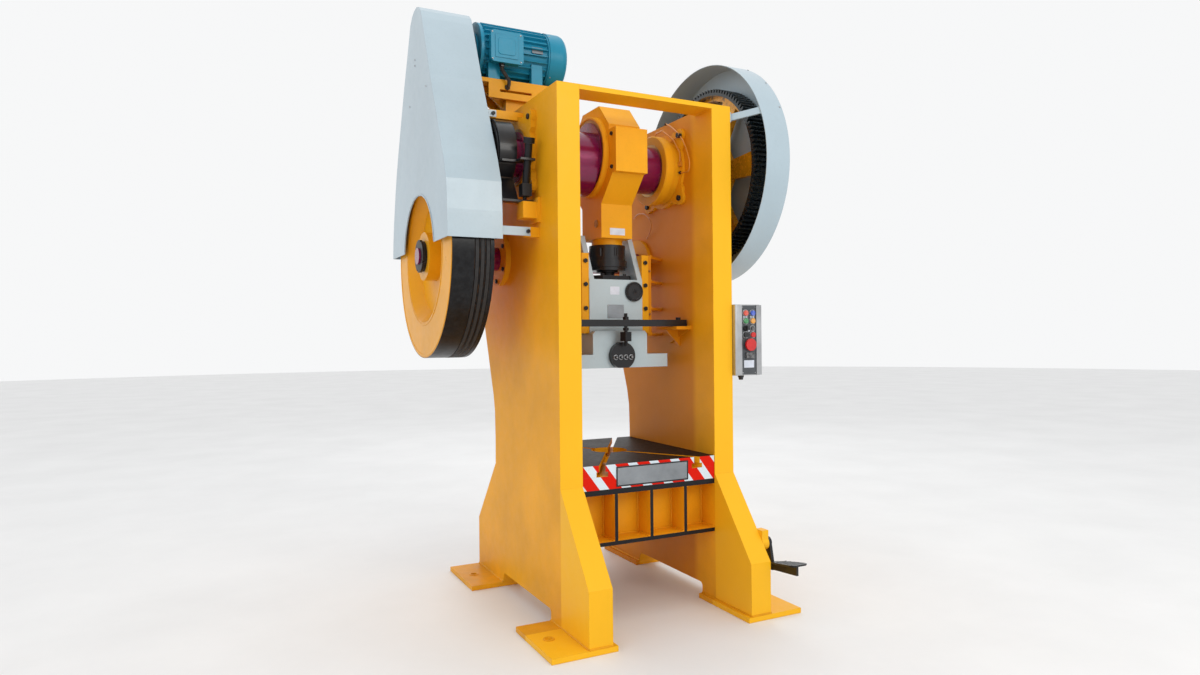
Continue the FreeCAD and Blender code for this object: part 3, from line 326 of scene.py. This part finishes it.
def lamp_mat():
    k = Mat("lamp_lens")
    x, z = k.pos(0), k.pos(2)
    right = k.math("GREATER_THAN", x, 0.543)
    top = k.mix(right, lin(214, 60, 18), lin(24, 74, 190))
    mid = k.mix(right, lin(20, 130, 60), lin(224, 150, 20))
    c = k.mix(k.math("GREATER_THAN", z, 1.377), mid, top)
    c = k.mix(k.math("LESS_THAN", z, 1.340), c, (0.02, 0.02, 0.022, 1))
    c = k.mix(k.math("MULTIPLY", k.ramp(k.noise(70, 4), 0.4, 0.7), 0.18), c, (0.9, 0.9, 0.9, 1))
    k.link(c, k.b.inputs["Base Color"])
    k.link(k.ramp(k.noise(60, 5), 0.3, 0.7, 0.10, 0.2), k.b.inputs["Roughness"])
    k.b.inputs["Coat Weight"].default_value = 0.8
    k.bump(k.noise(420, 2), 0.1, 0.0003, None, 0, 0, 0.0012)
    return k.m


def conduit_mat():
    k = Mat("ribbed_conduit")
    t = k.n("ShaderNodeTexWave")
    t.bands_direction = "Z"
    t.inputs["Scale"].default_value = 95
    k.link(k.tc.outputs["Object"], t.inputs["Vector"])
    c = k.mix(k.ramp(k.noise(40, 5), 0.3, 0.7), (0.03, 0.028, 0.026, 1), (0.075, 0.068, 0.06, 1))
    c = k.mix(k.math("MULTIPLY", t.outputs["Fac"], 0.5), c, (0.010, 0.010, 0.010, 1))
    k.link(c, k.b.inputs["Base Color"])
    k.link(k.ramp(k.noise(60, 5), 0.3, 0.7, 0.35, 0.5), k.b.inputs["Roughness"])
    k.bump(t.outputs["Fac"], 0.9, 0.002)
    return k.m


M_LAMP = lamp_mat()
M_CONDUIT = conduit_mat()

assign = {
    "left_column": M_COLUMN, "right_column": M_COLUMN, "top_tie_bar": M_COLUMN, "bed_frame": M_BED, "motor_base": M_ORANGE,
    "crank_bearings": M_ORANGE, "back_shaft_bearings": M_ORANGE, "connecting_rod": M_ORANGE, "con_rod_cap": M_ORANGE, "gibs": M_ORANGE,
    "main_gear": M_GEAR, "pinion": M_GEAR, "flywheel": M_FLY, "brake_drum": M_BLACK, "brake_band": M_BLACK2, "brake_spring_rod": M_BLACK,
    "brake_lining": M_LINING, "bolster_plate": M_BOLSTER, "bolster_wedges": M_BOLSTER, "front_plate": M_PLATE, "frame_bolts": M_BLACK, "crank_bushes": M_BRONZE,
    "gear_bush": M_BRONZE, "con_rod_bush": M_BRONZE, "crankshaft": M_MAG, "back_shaft": M_MAG, "flywheel_ring_nuts": M_BLACK,
    "clutch_ring": M_BLACK, "gear_guard": M_GREY, "belt_guard": M_GREY, "guard_straps": M_GREY, "ram": M_RAM, "ball_retainer": M_BLACK,
    "adjusting_screw": M_BLACK, "screw_lock_nut": M_BLACK2, "ram_bolts": M_BLACK, "shank_clamp": M_BLACK2, "ram_round_cap": M_BLACK2,
    "knockout_bar": M_BLACK2, "knockout_stop_screw": M_BLACK, "motor_body": M_BLUE, "fan_cowl": M_BLUE,
    "terminal_box": M_BLUE, "terminal_lid": M_BLUE, "motor_feed_conduit": M_CONDUIT, "motor_rotor": M_BARE, "motor_fan": M_BPLA,
    "motor_pulley": M_GEAR, "v_belts": M_RUB, "control_box": M_ALU, "control_panel": M_PANEL, "push_button_left": M_BPLA,
    "push_button_right": M_RED, "stop_mushroom": M_RED, "mode_selector": M_BPLA, "panel_lamps": M_LAMP, "foot_pedal": M_BLACK2,
    "pull_rod": M_BLACK, "trip_lever": M_BLACK, "grease_lines": M_GREASE_PIPE,
}
M_PULLEY = steel("pulley_iron", (0.03, 0.032, 0.036, 1), metal=0.5, rough=(0.3, 0.5), wear=(0.3, 0.3, 0.3, 1))
assign["motor_pulley"] = M_PULLEY
for name, o in nodes.items():
    m = assign.get(name, M_ORANGE)
    o.data.materials.clear()
    o.data.materials.append(m)


# ------------------------------------------------------------------ pieces
def finish_piece(o, body, mat):
    o.data.materials.clear()
    o.data.materials.append(mat)
    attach(o, body)
    return o


def new_obj(name, bm, smooth=30):
    me = bpy.data.meshes.new(name)
    bmesh.ops.recalc_face_normals(bm, faces=bm.faces)
    bm.to_mesh(me)
    bm.free()
    o = bpy.data.objects.new(name, me)
    scene.collection.objects.link(o)
    for p in me.polygons:
        p.use_smooth = True
    me.update()
    if hasattr(me, "set_sharp_from_angle"):
        me.set_sharp_from_angle(angle=radians(smooth))
    return o


def basis(axis):
    a = Vector(axis).normalized()
    u = Vector((0, 0, 1)) if abs(a.z) < 0.9 else Vector((1, 0, 0))
    v = a.cross(u).normalized()
    u = v.cross(a).normalized()
    return a, u, v


def lathe_into(bm, prof, org, axis, seg=28):
    """prof: (radius, height) in mm from org along axis"""
    a, u, v = basis(axis)
    rings = []
    for r, h in prof:
        c = org + a * (h / 1000.0)
        if r < 1e-6:
            rings.append([bm.verts.new(c)])
        else:
            rings.append([bm.verts.new(c + (u * cos(2 * pi * i / seg) + v * sin(2 * pi * i / seg)) * (r / 1000.0)) for i in range(seg)])
    for p, q in zip(rings, rings[1:]):
        for i in range(seg):
            j = (i + 1) % seg
            if len(p) == 1 and len(q) == 1:
                continue
            if len(p) == 1:
                bm.faces.new((p[0], q[i], q[j]))
            elif len(q) == 1:
                bm.faces.new((p[i], p[j], q[0]))
            else:
                bm.faces.new((p[i], p[j], q[j], q[i]))


def lathes(name, items, body, mat, seg=28):
    bm = bmesh.new()
    for prof, org, axis in items:
        lathe_into(bm, prof, org, axis, seg)
    return finish_piece(new_obj(name, bm), body, mat)


def rounded_plate(bm, c, u, v, n, w, h, t, r, chamfer=0.6, seg=6):
    """plate w x h, t thick along n from c (back face centre), rounded corners, chamfered rim; mm"""
    u, v, n = Vector(u).normalized(), Vector(v).normalized(), Vector(n).normalized()
    def loop(inset, d):
        pts = []
        ww, hh, rr = w / 2 - inset, h / 2 - inset, max(r - inset, 0.2)
        for qx, qy, a0 in ((1, 1, 0), (-1, 1, 90), (-1, -1, 180), (1, -1, 270)):
            for i in range(seg + 1):
                a = radians(a0 + 90.0 * i / seg)
                pts.append(bm.verts.new(c + (u * (qx * (ww - rr) + rr * cos(a)) + v * (qy * (hh - rr) + rr * sin(a)) + n * d) / 1000.0))
        return pts
    l0, l1, l2 = loop(0, 0), loop(0, t - chamfer), loop(chamfer, t)
    k = len(l0)
    for a, b in ((l0, l1), (l1, l2)):
        for i in range(k):
            j = (i + 1) % k
            bm.faces.new((a[i], a[j], b[j], b[i]))
    bm.faces.new(l2)
    bm.faces.new(list(reversed(l0)))


def plate(name, c, u, v, n, w, h, t, r, body, mat, chamfer=0.6):
    bm = bmesh.new()
    rounded_plate(bm, c, u, v, n, w, h, t, r, chamfer)
    return finish_piece(new_obj(name, bm, 40), body, mat)


def pipe(name, runs, r, body, mat, seg=10, smooth=8, ripple=0.0, flat=1.0):
    """round section swept along smoothed runs of points (row metres), closed ends"""
    bm = bmesh.new()
    for pts in runs:
        p = [Vector(q) for q in pts]
        line = []
        if smooth and len(p) > 2:
            ext = [p[0] * 2 - p[1]] + p + [p[-1] * 2 - p[-2]]
            for i in range(1, len(ext) - 2):
                for s in range(smooth):
                    t = s / smooth
                    a, b, c, d = ext[i - 1], ext[i], ext[i + 1], ext[i + 2]
                    line.append(0.5 * ((2 * b) + (c - a) * t + (2 * a - 5 * b + 4 * c - d) * t * t + (3 * b - a - 3 * c + d) * t ** 3))
            line.append(p[-1])
        else:
            for i in range(len(p) - 1):
                L = (p[i + 1] - p[i]).length
                kk = max(1, int(L / 0.006)) if ripple else 1
                line += [p[i].lerp(p[i + 1], s / kk) for s in range(kk)]
            line.append(p[-1])
        rings = []
        d0 = (line[1] - line[0]).normalized()
        a, u, v = basis(d0)
        for i, q in enumerate(line):
            d = (line[min(i + 1, len(line) - 1)] - line[max(i - 1, 0)]).normalized()
            u = (u - d * u.dot(d)).normalized()
            v = d.cross(u)
            rr = r / 1000.0
            if ripple:
                rr *= 1 + ripple * (sin(i * 2.1) * 0.5 + noise.noise(q * 90) * 0.8)
            rings.append([bm.verts.new(q + (u * cos(2 * pi * j / seg) + v * sin(2 * pi * j / seg)) * rr) for j in range(seg)])
        for x, y in zip(rings, rings[1:]):
            for j in range(seg):
                bm.faces.new((x[j], x[(j + 1) % seg], y[(j + 1) % seg], y[j]))
        bm.faces.new(rings[0])
        bm.faces.new(list(reversed(rings[-1])))
    return finish_piece(new_obj(name, bm, 60), body, mat)


def pan(r=5.0, h=3.0):
    return [(0, h), (r * 0.35, h), (r * 0.36, h * 0.55), (r * 0.45, h * 0.55), (r * 0.46, h), (r * 0.75, h * 0.86), (r, h * 0.35), (r, 0)]


XI, XO = 350.5, 459.5
# --- weld fillets: feet to pads, column to bed, brackets
runs = []
for s in (-1, 1):
    for x in (XI, XO):
        runs.append([P(s * x, -276, 25), P(s * x, 115, 25)])
        runs.append([P(s * x, 745, 25), P(s * x, 1137, 25)])
    runs.append([P(s * XI, -277, 25), P(s * XO, -277, 25)])
    runs.append([P(s * XI, 1137.5, 25), P(s * XO, 1137.5, 25)])
pipe("weld_feet", runs, 4.5, "frame", M_ORANGE, seg=8, smooth=0, ripple=0.14)
runs = []
xs = [(-350.5, -190), (-174, -6), (10, 178), (194, 350.5)]
for a, b in xs:
    for z in (367, 579):
        runs.append([P(a + 3, 119, z), P(b - 3, 119, z)])
    for x, d in ((a, 2.5), (b, -2.5)):
        runs.append([P(x + d, 117.5, 369), P(x + d, 117.5, 577)])
        runs.append([P(x + d, 9, 368.5), P(x + d, 117, 368.5)])
        runs.append([P(x + d, 9, 577.5), P(x + d, 117, 577.5)])
pipe("weld_bed", runs, 4.5, "frame", M_ORANGE, seg=8, smooth=0, ripple=0.14)
runs = []
for s in (-1, 1):
    runs.append([P(s * 349, 6, 2378), P(s * 349, 139, 2378)])
    for z in (1290, 1422, 1560, 1685):
        runs.append([P(s * 349, 472, z + 14), P(s * 349, 623 if z < 1600 else 574, z + 14)])
        runs.append([P(s * 214, 352, z + 14), P(s * 214, 500, z + 14)])
    runs.append([P(s * 349, 192, 1337), P(s * 349, 384, 1337)])
pipe("weld_brackets", runs, 3.6, "frame", M_ORANGE, seg=8, smooth=0, ripple=0.14)

# --- anchor washers sunk round the anchor holes' rims, a low raised ring
items = []
for sx in (-555, 555):
    for sy in (427.5 - 512.5, 427.5 + 512.5):
        items.append(([(16, 0.2), (16, 2.2), (17, 3.0), (24, 3.0), (25, 2.2), (25, 0.2), (16, 0.2)], P(sx, sy, 23), (0, 0, 1)))
lathes("anchor_rings", items, "frame", M_ORANGE, 36)

# --- ram: blank label and plate, rivets
plate("ram_label", P(-8, 332, 1516), (1, 0, 0), (0, 0, 1), (0, -1, 0), 52, 40, 0.7, 3, "ram", M_LABEL, 0.2)
plate("ram_plate", P(-4, 332, 1412), (1, 0, 0), (0, 0, 1), (0, -1, 0), 92, 68, 1.4, 3, "ram", M_PLATE, 0.4)
lathes("ram_plate_rivets", [(pan(2.6, 1.6), P(-4 + a * 41, 330.6, 1412 + b * 29), (0, -1, 0)) for a in (-1, 1) for b in (-1, 1)], "ram", M_BARE, 14)
# round cap: raised rim and a set screw in the middle
lathes("ram_cap_detail", [([(0, 3), (10, 3), (12, 1.4), (12, 0)], P(98, 320, 1512), (0, -1, 0)),
                          ([(38, 0), (38, 2.4), (40, 3.2), (46, 3.2), (48, 1.6), (48, 0)], P(98, 320, 1512), (0, -1, 0))], "ram", M_BLACK, 40)
# shank clamp: washers
lathes("clamp_washers", [([(8.5, 0), (12.4, 0.2), (13, 1.2), (12.4, 2.2), (9, 2.4)], P(x, 262, 1186), (0, -1, 0)) for x in (-42, -14, 14, 42)], "ram", M_BARE, 24)
# studs standing from the clamp's nuts
lathes("clamp_studs", [([(0, 16), (3.6, 16), (4.6, 14.8), (4.6, 9), (5, 8.6), (5, 9.6), (4.6, 9.4)][:4] + [(4.6, 9)], P(x, 262, 1186), (0, -1, 0)) for x in (-42, -14, 14, 42)], "ram", M_BARE, 16)

# --- connecting rod: blank label, side plug, two dowels on top
plate("rod_label", P(3, 319, 1808), (1, 0, 0), (0, 0, 1), (0, -1, 0), 84, 34, 0.7, 3, "con_rod", M_LABEL, 0.2)
lathes("rod_plug", [([(0, 5), (7, 5), (7.4, 3), (10, 3), (13, 5.4), (17, 5.4), (19, 3.4), (19, 0)], P(-86, 373, 1849), (-1, 0, 0)),
                    ([(0, 5), (7, 5), (7.4, 3), (10, 3), (13, 5.4), (17, 5.4), (19, 3.4), (19, 0)], P(86, 373, 1849), (1, 0, 0))], "con_rod", M_BRONZE, 28)
lathes("rod_top_oilers", [([(0, 15), (3, 15), (4.5, 12), (4.5, 10), (3, 8.5), (5.5, 6), (7, 5), (7, 0)], P(x, 430, 2424), (0, 0, 1)) for x in (-40, 20)], "con_rod", M_BLACK, 16)
lathes("rod_bore_lip", [([(187, 0.1), (187, 3), (189, 4.5), (196, 4.5), (198, 3), (198, 0.1)], P(110 * s, 427.5, 2185), (s, 0, 0)) for s in (-1, 1)], "con_rod", M_ORANGE, 72)
# cap bolts at the front of the rod's head
lathes("cap_screws", [([(0, 3), (5, 3), (5.4, 7), (8.6, 7.6), (9.6, 6.6), (9.6, 0)], P(s * 86, 200, z), (s, 0, 0)) for s in (-1, 1) for z in (2100, 2258)], "con_rod", M_BLACK, 20)

# --- grease pipes on the right bearing and below it
runs = [[P(333, 392, 2399), P(329, 330, 2366), P(326, 245, 2302), P(326, 190, 2228), P(326, 160, 2156), P(327, 170, 2110), P(328, 226, 2112), P(333, 252, 2116)],
        [P(326, 245, 2302), P(327, 300, 2296), P(326, 378, 2274)]]
pipe("grease_pipe_upper", runs, 3.4, "frame", M_GREASE_PIPE, seg=10, smooth=8)
lathes("grease_unions", [([(0, 10), (6, 10), (8, 8), (8, -8), (6, -10), (0, -10)], P(326, 245, 2302), (0, 0.6, -0.8)),
                         ([(0, 12), (4, 12), (6, 9), (7.5, 7), (7.5, 0)], P(334, 252, 2116), (-1, 0, 0)),
                         ([(0, 9), (6, 9), (7.5, 7), (7.5, 0)], P(333, 392, 2399), (0, 0, -1))], "frame", M_BLACK, 16)
runs = [[P(344, 757, 1954), P(330, 690, 1967), P(322, 606, 1956), P(320, 542, 1918), P(322, 532, 1883), P(332, 564, 1849), P(344, 619, 1822)]]
pipe("grease_pipe_lower", runs, 3.0, "frame", M_GREASE_PIPE, seg=10, smooth=8)

# --- belt guard: screws, seam fold along the rim
items = []
for y, z in ((748, 2662), (749, 2633), (539, 2473), (862, 2460)):
    items.append((pan(5.0, 3.0), P(-892, y, z), (-1, 0, 0)))
lathes("guard_screws", items, "frame", M_BARE, 20)
# rim strip round the guard's arch
bm = bmesh.new()
a0, a1, kk = radians(8.2), radians(171.8), 56
prev = None
sec = [(0, 294.5), (-2.2, 294.5), (-3.0, 295.6), (-3.0, 300.4), (-2.2, 301.5), (0, 301.5)]
for i in range(kk + 1):
    a = a0 + (a1 - a0) * i / kk
    ring = [bm.verts.new(P(-892 + dx, 717.9 + r * cos(a), 1690 + r * sin(a))) for dx, r in sec]
    if prev:
        for j in range(len(sec)):
            q = (j + 1) % len(sec)
            bm.faces.new((prev[j], prev[q], ring[q], ring[j]))
    else:
        bm.faces.new(ring)
    prev = ring
bm.faces.new(list(reversed(prev)))
finish_piece(new_obj("guard_arch_rim", bm), "frame", M_GREY)
# gear guard: small screws round its outer band
items = []
for a in (100, 118, 136, 154, 30, 50, 70):
    r = 575.0
    d = Vector((0, cos(radians(a)), sin(radians(a))))
    items.append((pan(5.0, 3.0), P(690, 427.5 + r * cos(radians(a)), 2150 + r * sin(radians(a))), d))
lathes("gear_guard_screws", items, "frame", M_BARE, 18)

# --- motor: lid screws, raised panel, glands, blank rating plate
plate("lid_panel", P(-485, 545, 2725), (1, 0, 0), (0, 0, 1), (0, -1, 0), 92, 84, 2.4, 16, "frame", M_BLUE, 1.2)
items = [(pan(4.6, 3), P(-485 + i * 74, 548, 2724 + j * 66), (0, -1, 0)) for i in (-1, 1) for j in (-1, 1)]
lathes("lid_screws", items, "frame", M_BARE, 18)
lathes("conduit_glands", [([(9.5, 0), (15, 0), (15, 9), (13.5, 11), (13.5, 18), (9.5, 20)], P(-500, 582, 2652), (0, 0, -1)),
                          ([(9.5, 0), (15, 0), (15, 6), (13, 8), (9.5, 9)], P(-462, 610, 2544), (0, -1, 0))], "frame", M_BPLA, 6)
plate("motor_rating_plate", P(-300, 602, 2752), (1, 0, 0), (0, 0.2, 1), (0, -1, 0.2), 60, 34, 1.0, 3, "frame", M_PLATE, 0.3)
items = []
for x in (-222, -212):
    for j in range(4):
        a = radians(45 + 90 * j)
        items.append((pan(4.2, 2.6), P(x + 2, 738 + 150 * cos(a), 2741 + 150 * sin(a)), (0, cos(a), sin(a))))
lathes("cowl_screws", items[:4], "frame", M_BARE, 16)
# motor hold-down bolts
items = [([(0, 9), (9, 9), (10.4, 7.8), (10.4, 0)], P(x, y, 2599), (0, 0, 1)) for x in (-548, -512, -318, -282) for y in (628, 848)]
lathes("motor_feet_bolts", items, "frame", M_BLACK, 6)

# --- control box: switch collars, blank legend plates, glands and corner screws
items = []
for x, z, r in ((522, 1290, 14.5), (564, 1290, 14.5), (522, 1396, 14.5), (564, 1396, 14.5), (522, 1358, 14.5), (564, 1358, 14.5), (564, 1322, 12.5)):
    items.append(([(r - 1.2, 0), (r - 1.2, 3.0), (r, 4), (r + 2.4, 4), (r + 3.4, 2.6), (r + 3.4, 0)], P(x, -22, z), (0, -1, 0)))
lathes("switch_collars", items, "frame", M_BARE, 32)
lathes("stop_collar", [([(11.4, 0), (11.4, 2.6), (16, 3.0), (18, 2.2), (18, 0)], P(543, -22, 1242), (0, -1, 0))], "frame", M_BPLA, 32)
bm = bmesh.new()
for x, z, ww, hh in ((522, 1417 - 39.5, 24, 7), (564, 1417 - 39.5, 24, 7), (543, 1268.5 + 41, 14, 6), (543, 1148, 60, 36)):
    rounded_plate(bm, P(x, -22, z), (1, 0, 0), (0, 0, 1), (0, -1, 0), ww, hh, 0.8, 1.5, 0.2)
finish_piece(new_obj("legend_plates", bm, 40), "frame", M_LABEL)
lathes("panel_screws", [(pan(3.2, 2), P(x, -22, z), (0, -1, 0)) for x in (506, 580) for z in (1105, 1425)], "frame", M_BARE, 16)
lathes("box_gland", [([(0, 26), (9, 26), (11, 24), (12, 15), (15, 14), (15, 4), (17, 3), (17, 0)], P(543, 45, 1094), (0, 0, -1))], "frame", M_BPLA, 24)
# edge trims of the box, folded lids at both ends
for nm, z in (("top", 1436.3), ("bottom", 1093.7)):
    s = 1 if nm == "top" else -1
    bm = bmesh.new()
    rounded_plate(bm, P(543, 45, z), (1, 0, 0), (0, 1, 0), (0, 0, s), 150, 118, 1.6, 8, 0.8)
    finish_piece(new_obj("box_cap_" + nm, bm, 40), "frame", M_ALU)

# --- flywheel: turned rings on its face
lathes("flywheel_turned_ring", [([(332, 0), (332, 1.6), (334, 2.4), (338, 2.4), (340, 1.6), (340, 0)], P(-866, 717.906, 1690), (-1, 0, 0)),
                                ([(482, 0), (482, 1.2), (484, 2.0), (492, 2.0), (494, 1.2), (494, 0)], P(-866, 717.906, 1690), (-1, 0, 0))], "flywheel", M_FLY, 96)
# --- front plate's dark frame
bm = bmesh.new()
x0, x1, z0, z1 = -182.0, 200.0, 611.0, 701.0
for a, b, c, d in ((x0, x1, z0, z0 + 6), (x0, x1, z1 - 6, z1), (x0, x0 + 6, z0 + 6, z1 - 6), (x1 - 6, x1, z0 + 6, z1 - 6)):
    rounded_plate(bm, P((a + b) / 2, 2.5, (c + d) / 2), (1, 0, 0), (0, 0, 1), (0, -1, 0), b - a, d - c, 1.4, 0.6, 0.4, 2)
finish_piece(new_obj("front_plate_border", bm, 40), "frame", M_BLACK2)
lathes("front_plate_rivets", [(pan(3.2, 1.8), P(x, 2.5, z), (0, -1, 0)) for x in (-168, 186) for z in (625, 687)], "frame", M_BARE, 16)

# --- pedal tread: low bars across it
bm = bmesh.new()
for i in range(5):
    y = -278 - 27 * i
    c = P(520, y, 242 + (-234 - y) * 28 / 180 - 0.1)
    rounded_plate(bm, c, (1, 0, 0), (0, -0.988, 0.155), (0, 0.155, 0.988), 58 + 4 * min(i, 3), 5, 1.4, 1.0, 0.7, 3)
finish_piece(new_obj("tread_bars", bm, 40), "pedal", M_BLACK2)

# --- knock-out bar end pins and spring washers are part of the CAD; add oil cups on the gibs
items = [([(0, 13), (3, 13), (4.4, 10), (4.4, 8), (3, 7), (5.4, 5), (6.5, 4), (6.5, 0)], P(s * 200, 350, z), (0, -1, 0)) for s in (-1, 1) for z in (1400, 1620)]
lathes("gib_oilers", items, "frame", M_BRONZE, 16)

# ------------------------------------------------------------------ floor
bm = bmesh.new()
seg = 96
c0 = bm.verts.new((0, 0, -0.0006))
ring = [bm.verts.new((30 * cos(2 * pi * i / seg), 30 * sin(2 * pi * i / seg), -0.0006)) for i in range(seg)]
for i in range(seg):
    bm.faces.new((c0, ring[i], ring[(i + 1) % seg]))
me = bpy.data.meshes.new("floor")
bm.to_mesh(me)
bm.free()
floor = bpy.data.objects.new("floor", me)
scene.collection.objects.link(floor)
k = Mat("floor_pale")
k.link(k.mix(k.ramp(k.noise(1.3, 5), 0.3, 0.7), (0.78, 0.78, 0.78, 1), (0.83, 0.83, 0.83, 1)), k.b.inputs["Base Color"])
k.link(k.ramp(k.noise(20, 5), 0.3, 0.7, 0.55, 0.7), k.b.inputs["Roughness"])
floor.data.materials.append(k.m)

# ------------------------------------------------------------------ light
w = bpy.data.worlds.new("studio")
scene.world = w
w.use_nodes = True
bg = w.node_tree.nodes["Background"]
bg.inputs[0].default_value = (0.99, 0.995, 1.0, 1)
bg.inputs[1].default_value = 0.94


def area(name, loc, target, size, power, col=(1, 1, 1), sy=None):
    l = bpy.data.lights.new(name, "AREA")
    l.energy = power
    l.color = col
    l.shape = "RECTANGLE"
    l.size = size
    l.size_y = sy or size
    o = bpy.data.objects.new(name, l)
    scene.collection.objects.link(o)
    d = Vector(target) - Vector(loc)
    o.location = loc
    o.rotation_euler = d.to_track_quat("-Z", "Y").to_euler()


area("key", (1.2, -6.6, 4.4), (0, 0, 1.3), 2.6, 120, (1.0, 0.985, 0.94))
area("fill", (-6.0, -3.2, 3.0), (0, 0, 1.5), 2.4, 20, (0.97, 0.98, 1.0))
area("rim", (3.0, 5.5, 5.0), (0, 0, 1.6), 3.0, 60)
area("top", (0, 0.5, 7.0), (0, 0, 0), 4.0, 30)

# ------------------------------------------------------------------ camera
right = Vector((0.89327, -0.44942, -0.00914)).normalized()
up = Vector((0.00813, -0.00416, 0.99996))
up = (up - right * up.dot(right)).normalized()
back = right.cross(up)
cam = bpy.data.cameras.new("camera")
cam.sensor_fit = "HORIZONTAL"
cam.sensor_width = 36.0
cam.lens = 786.7238 * 36.0 / 1200.0
cam.clip_end = 200
co = bpy.data.objects.new("camera", cam)
scene.collection.objects.link(co)
m = Matrix((right, up, back)).transposed().to_4x4()
m.translation = Vector((-1.83320, -3.55476, 1.28327))
co.matrix_world = m
scene.camera = co
scene.view_settings.view_transform = "Standard"
scene.view_settings.look = "None"
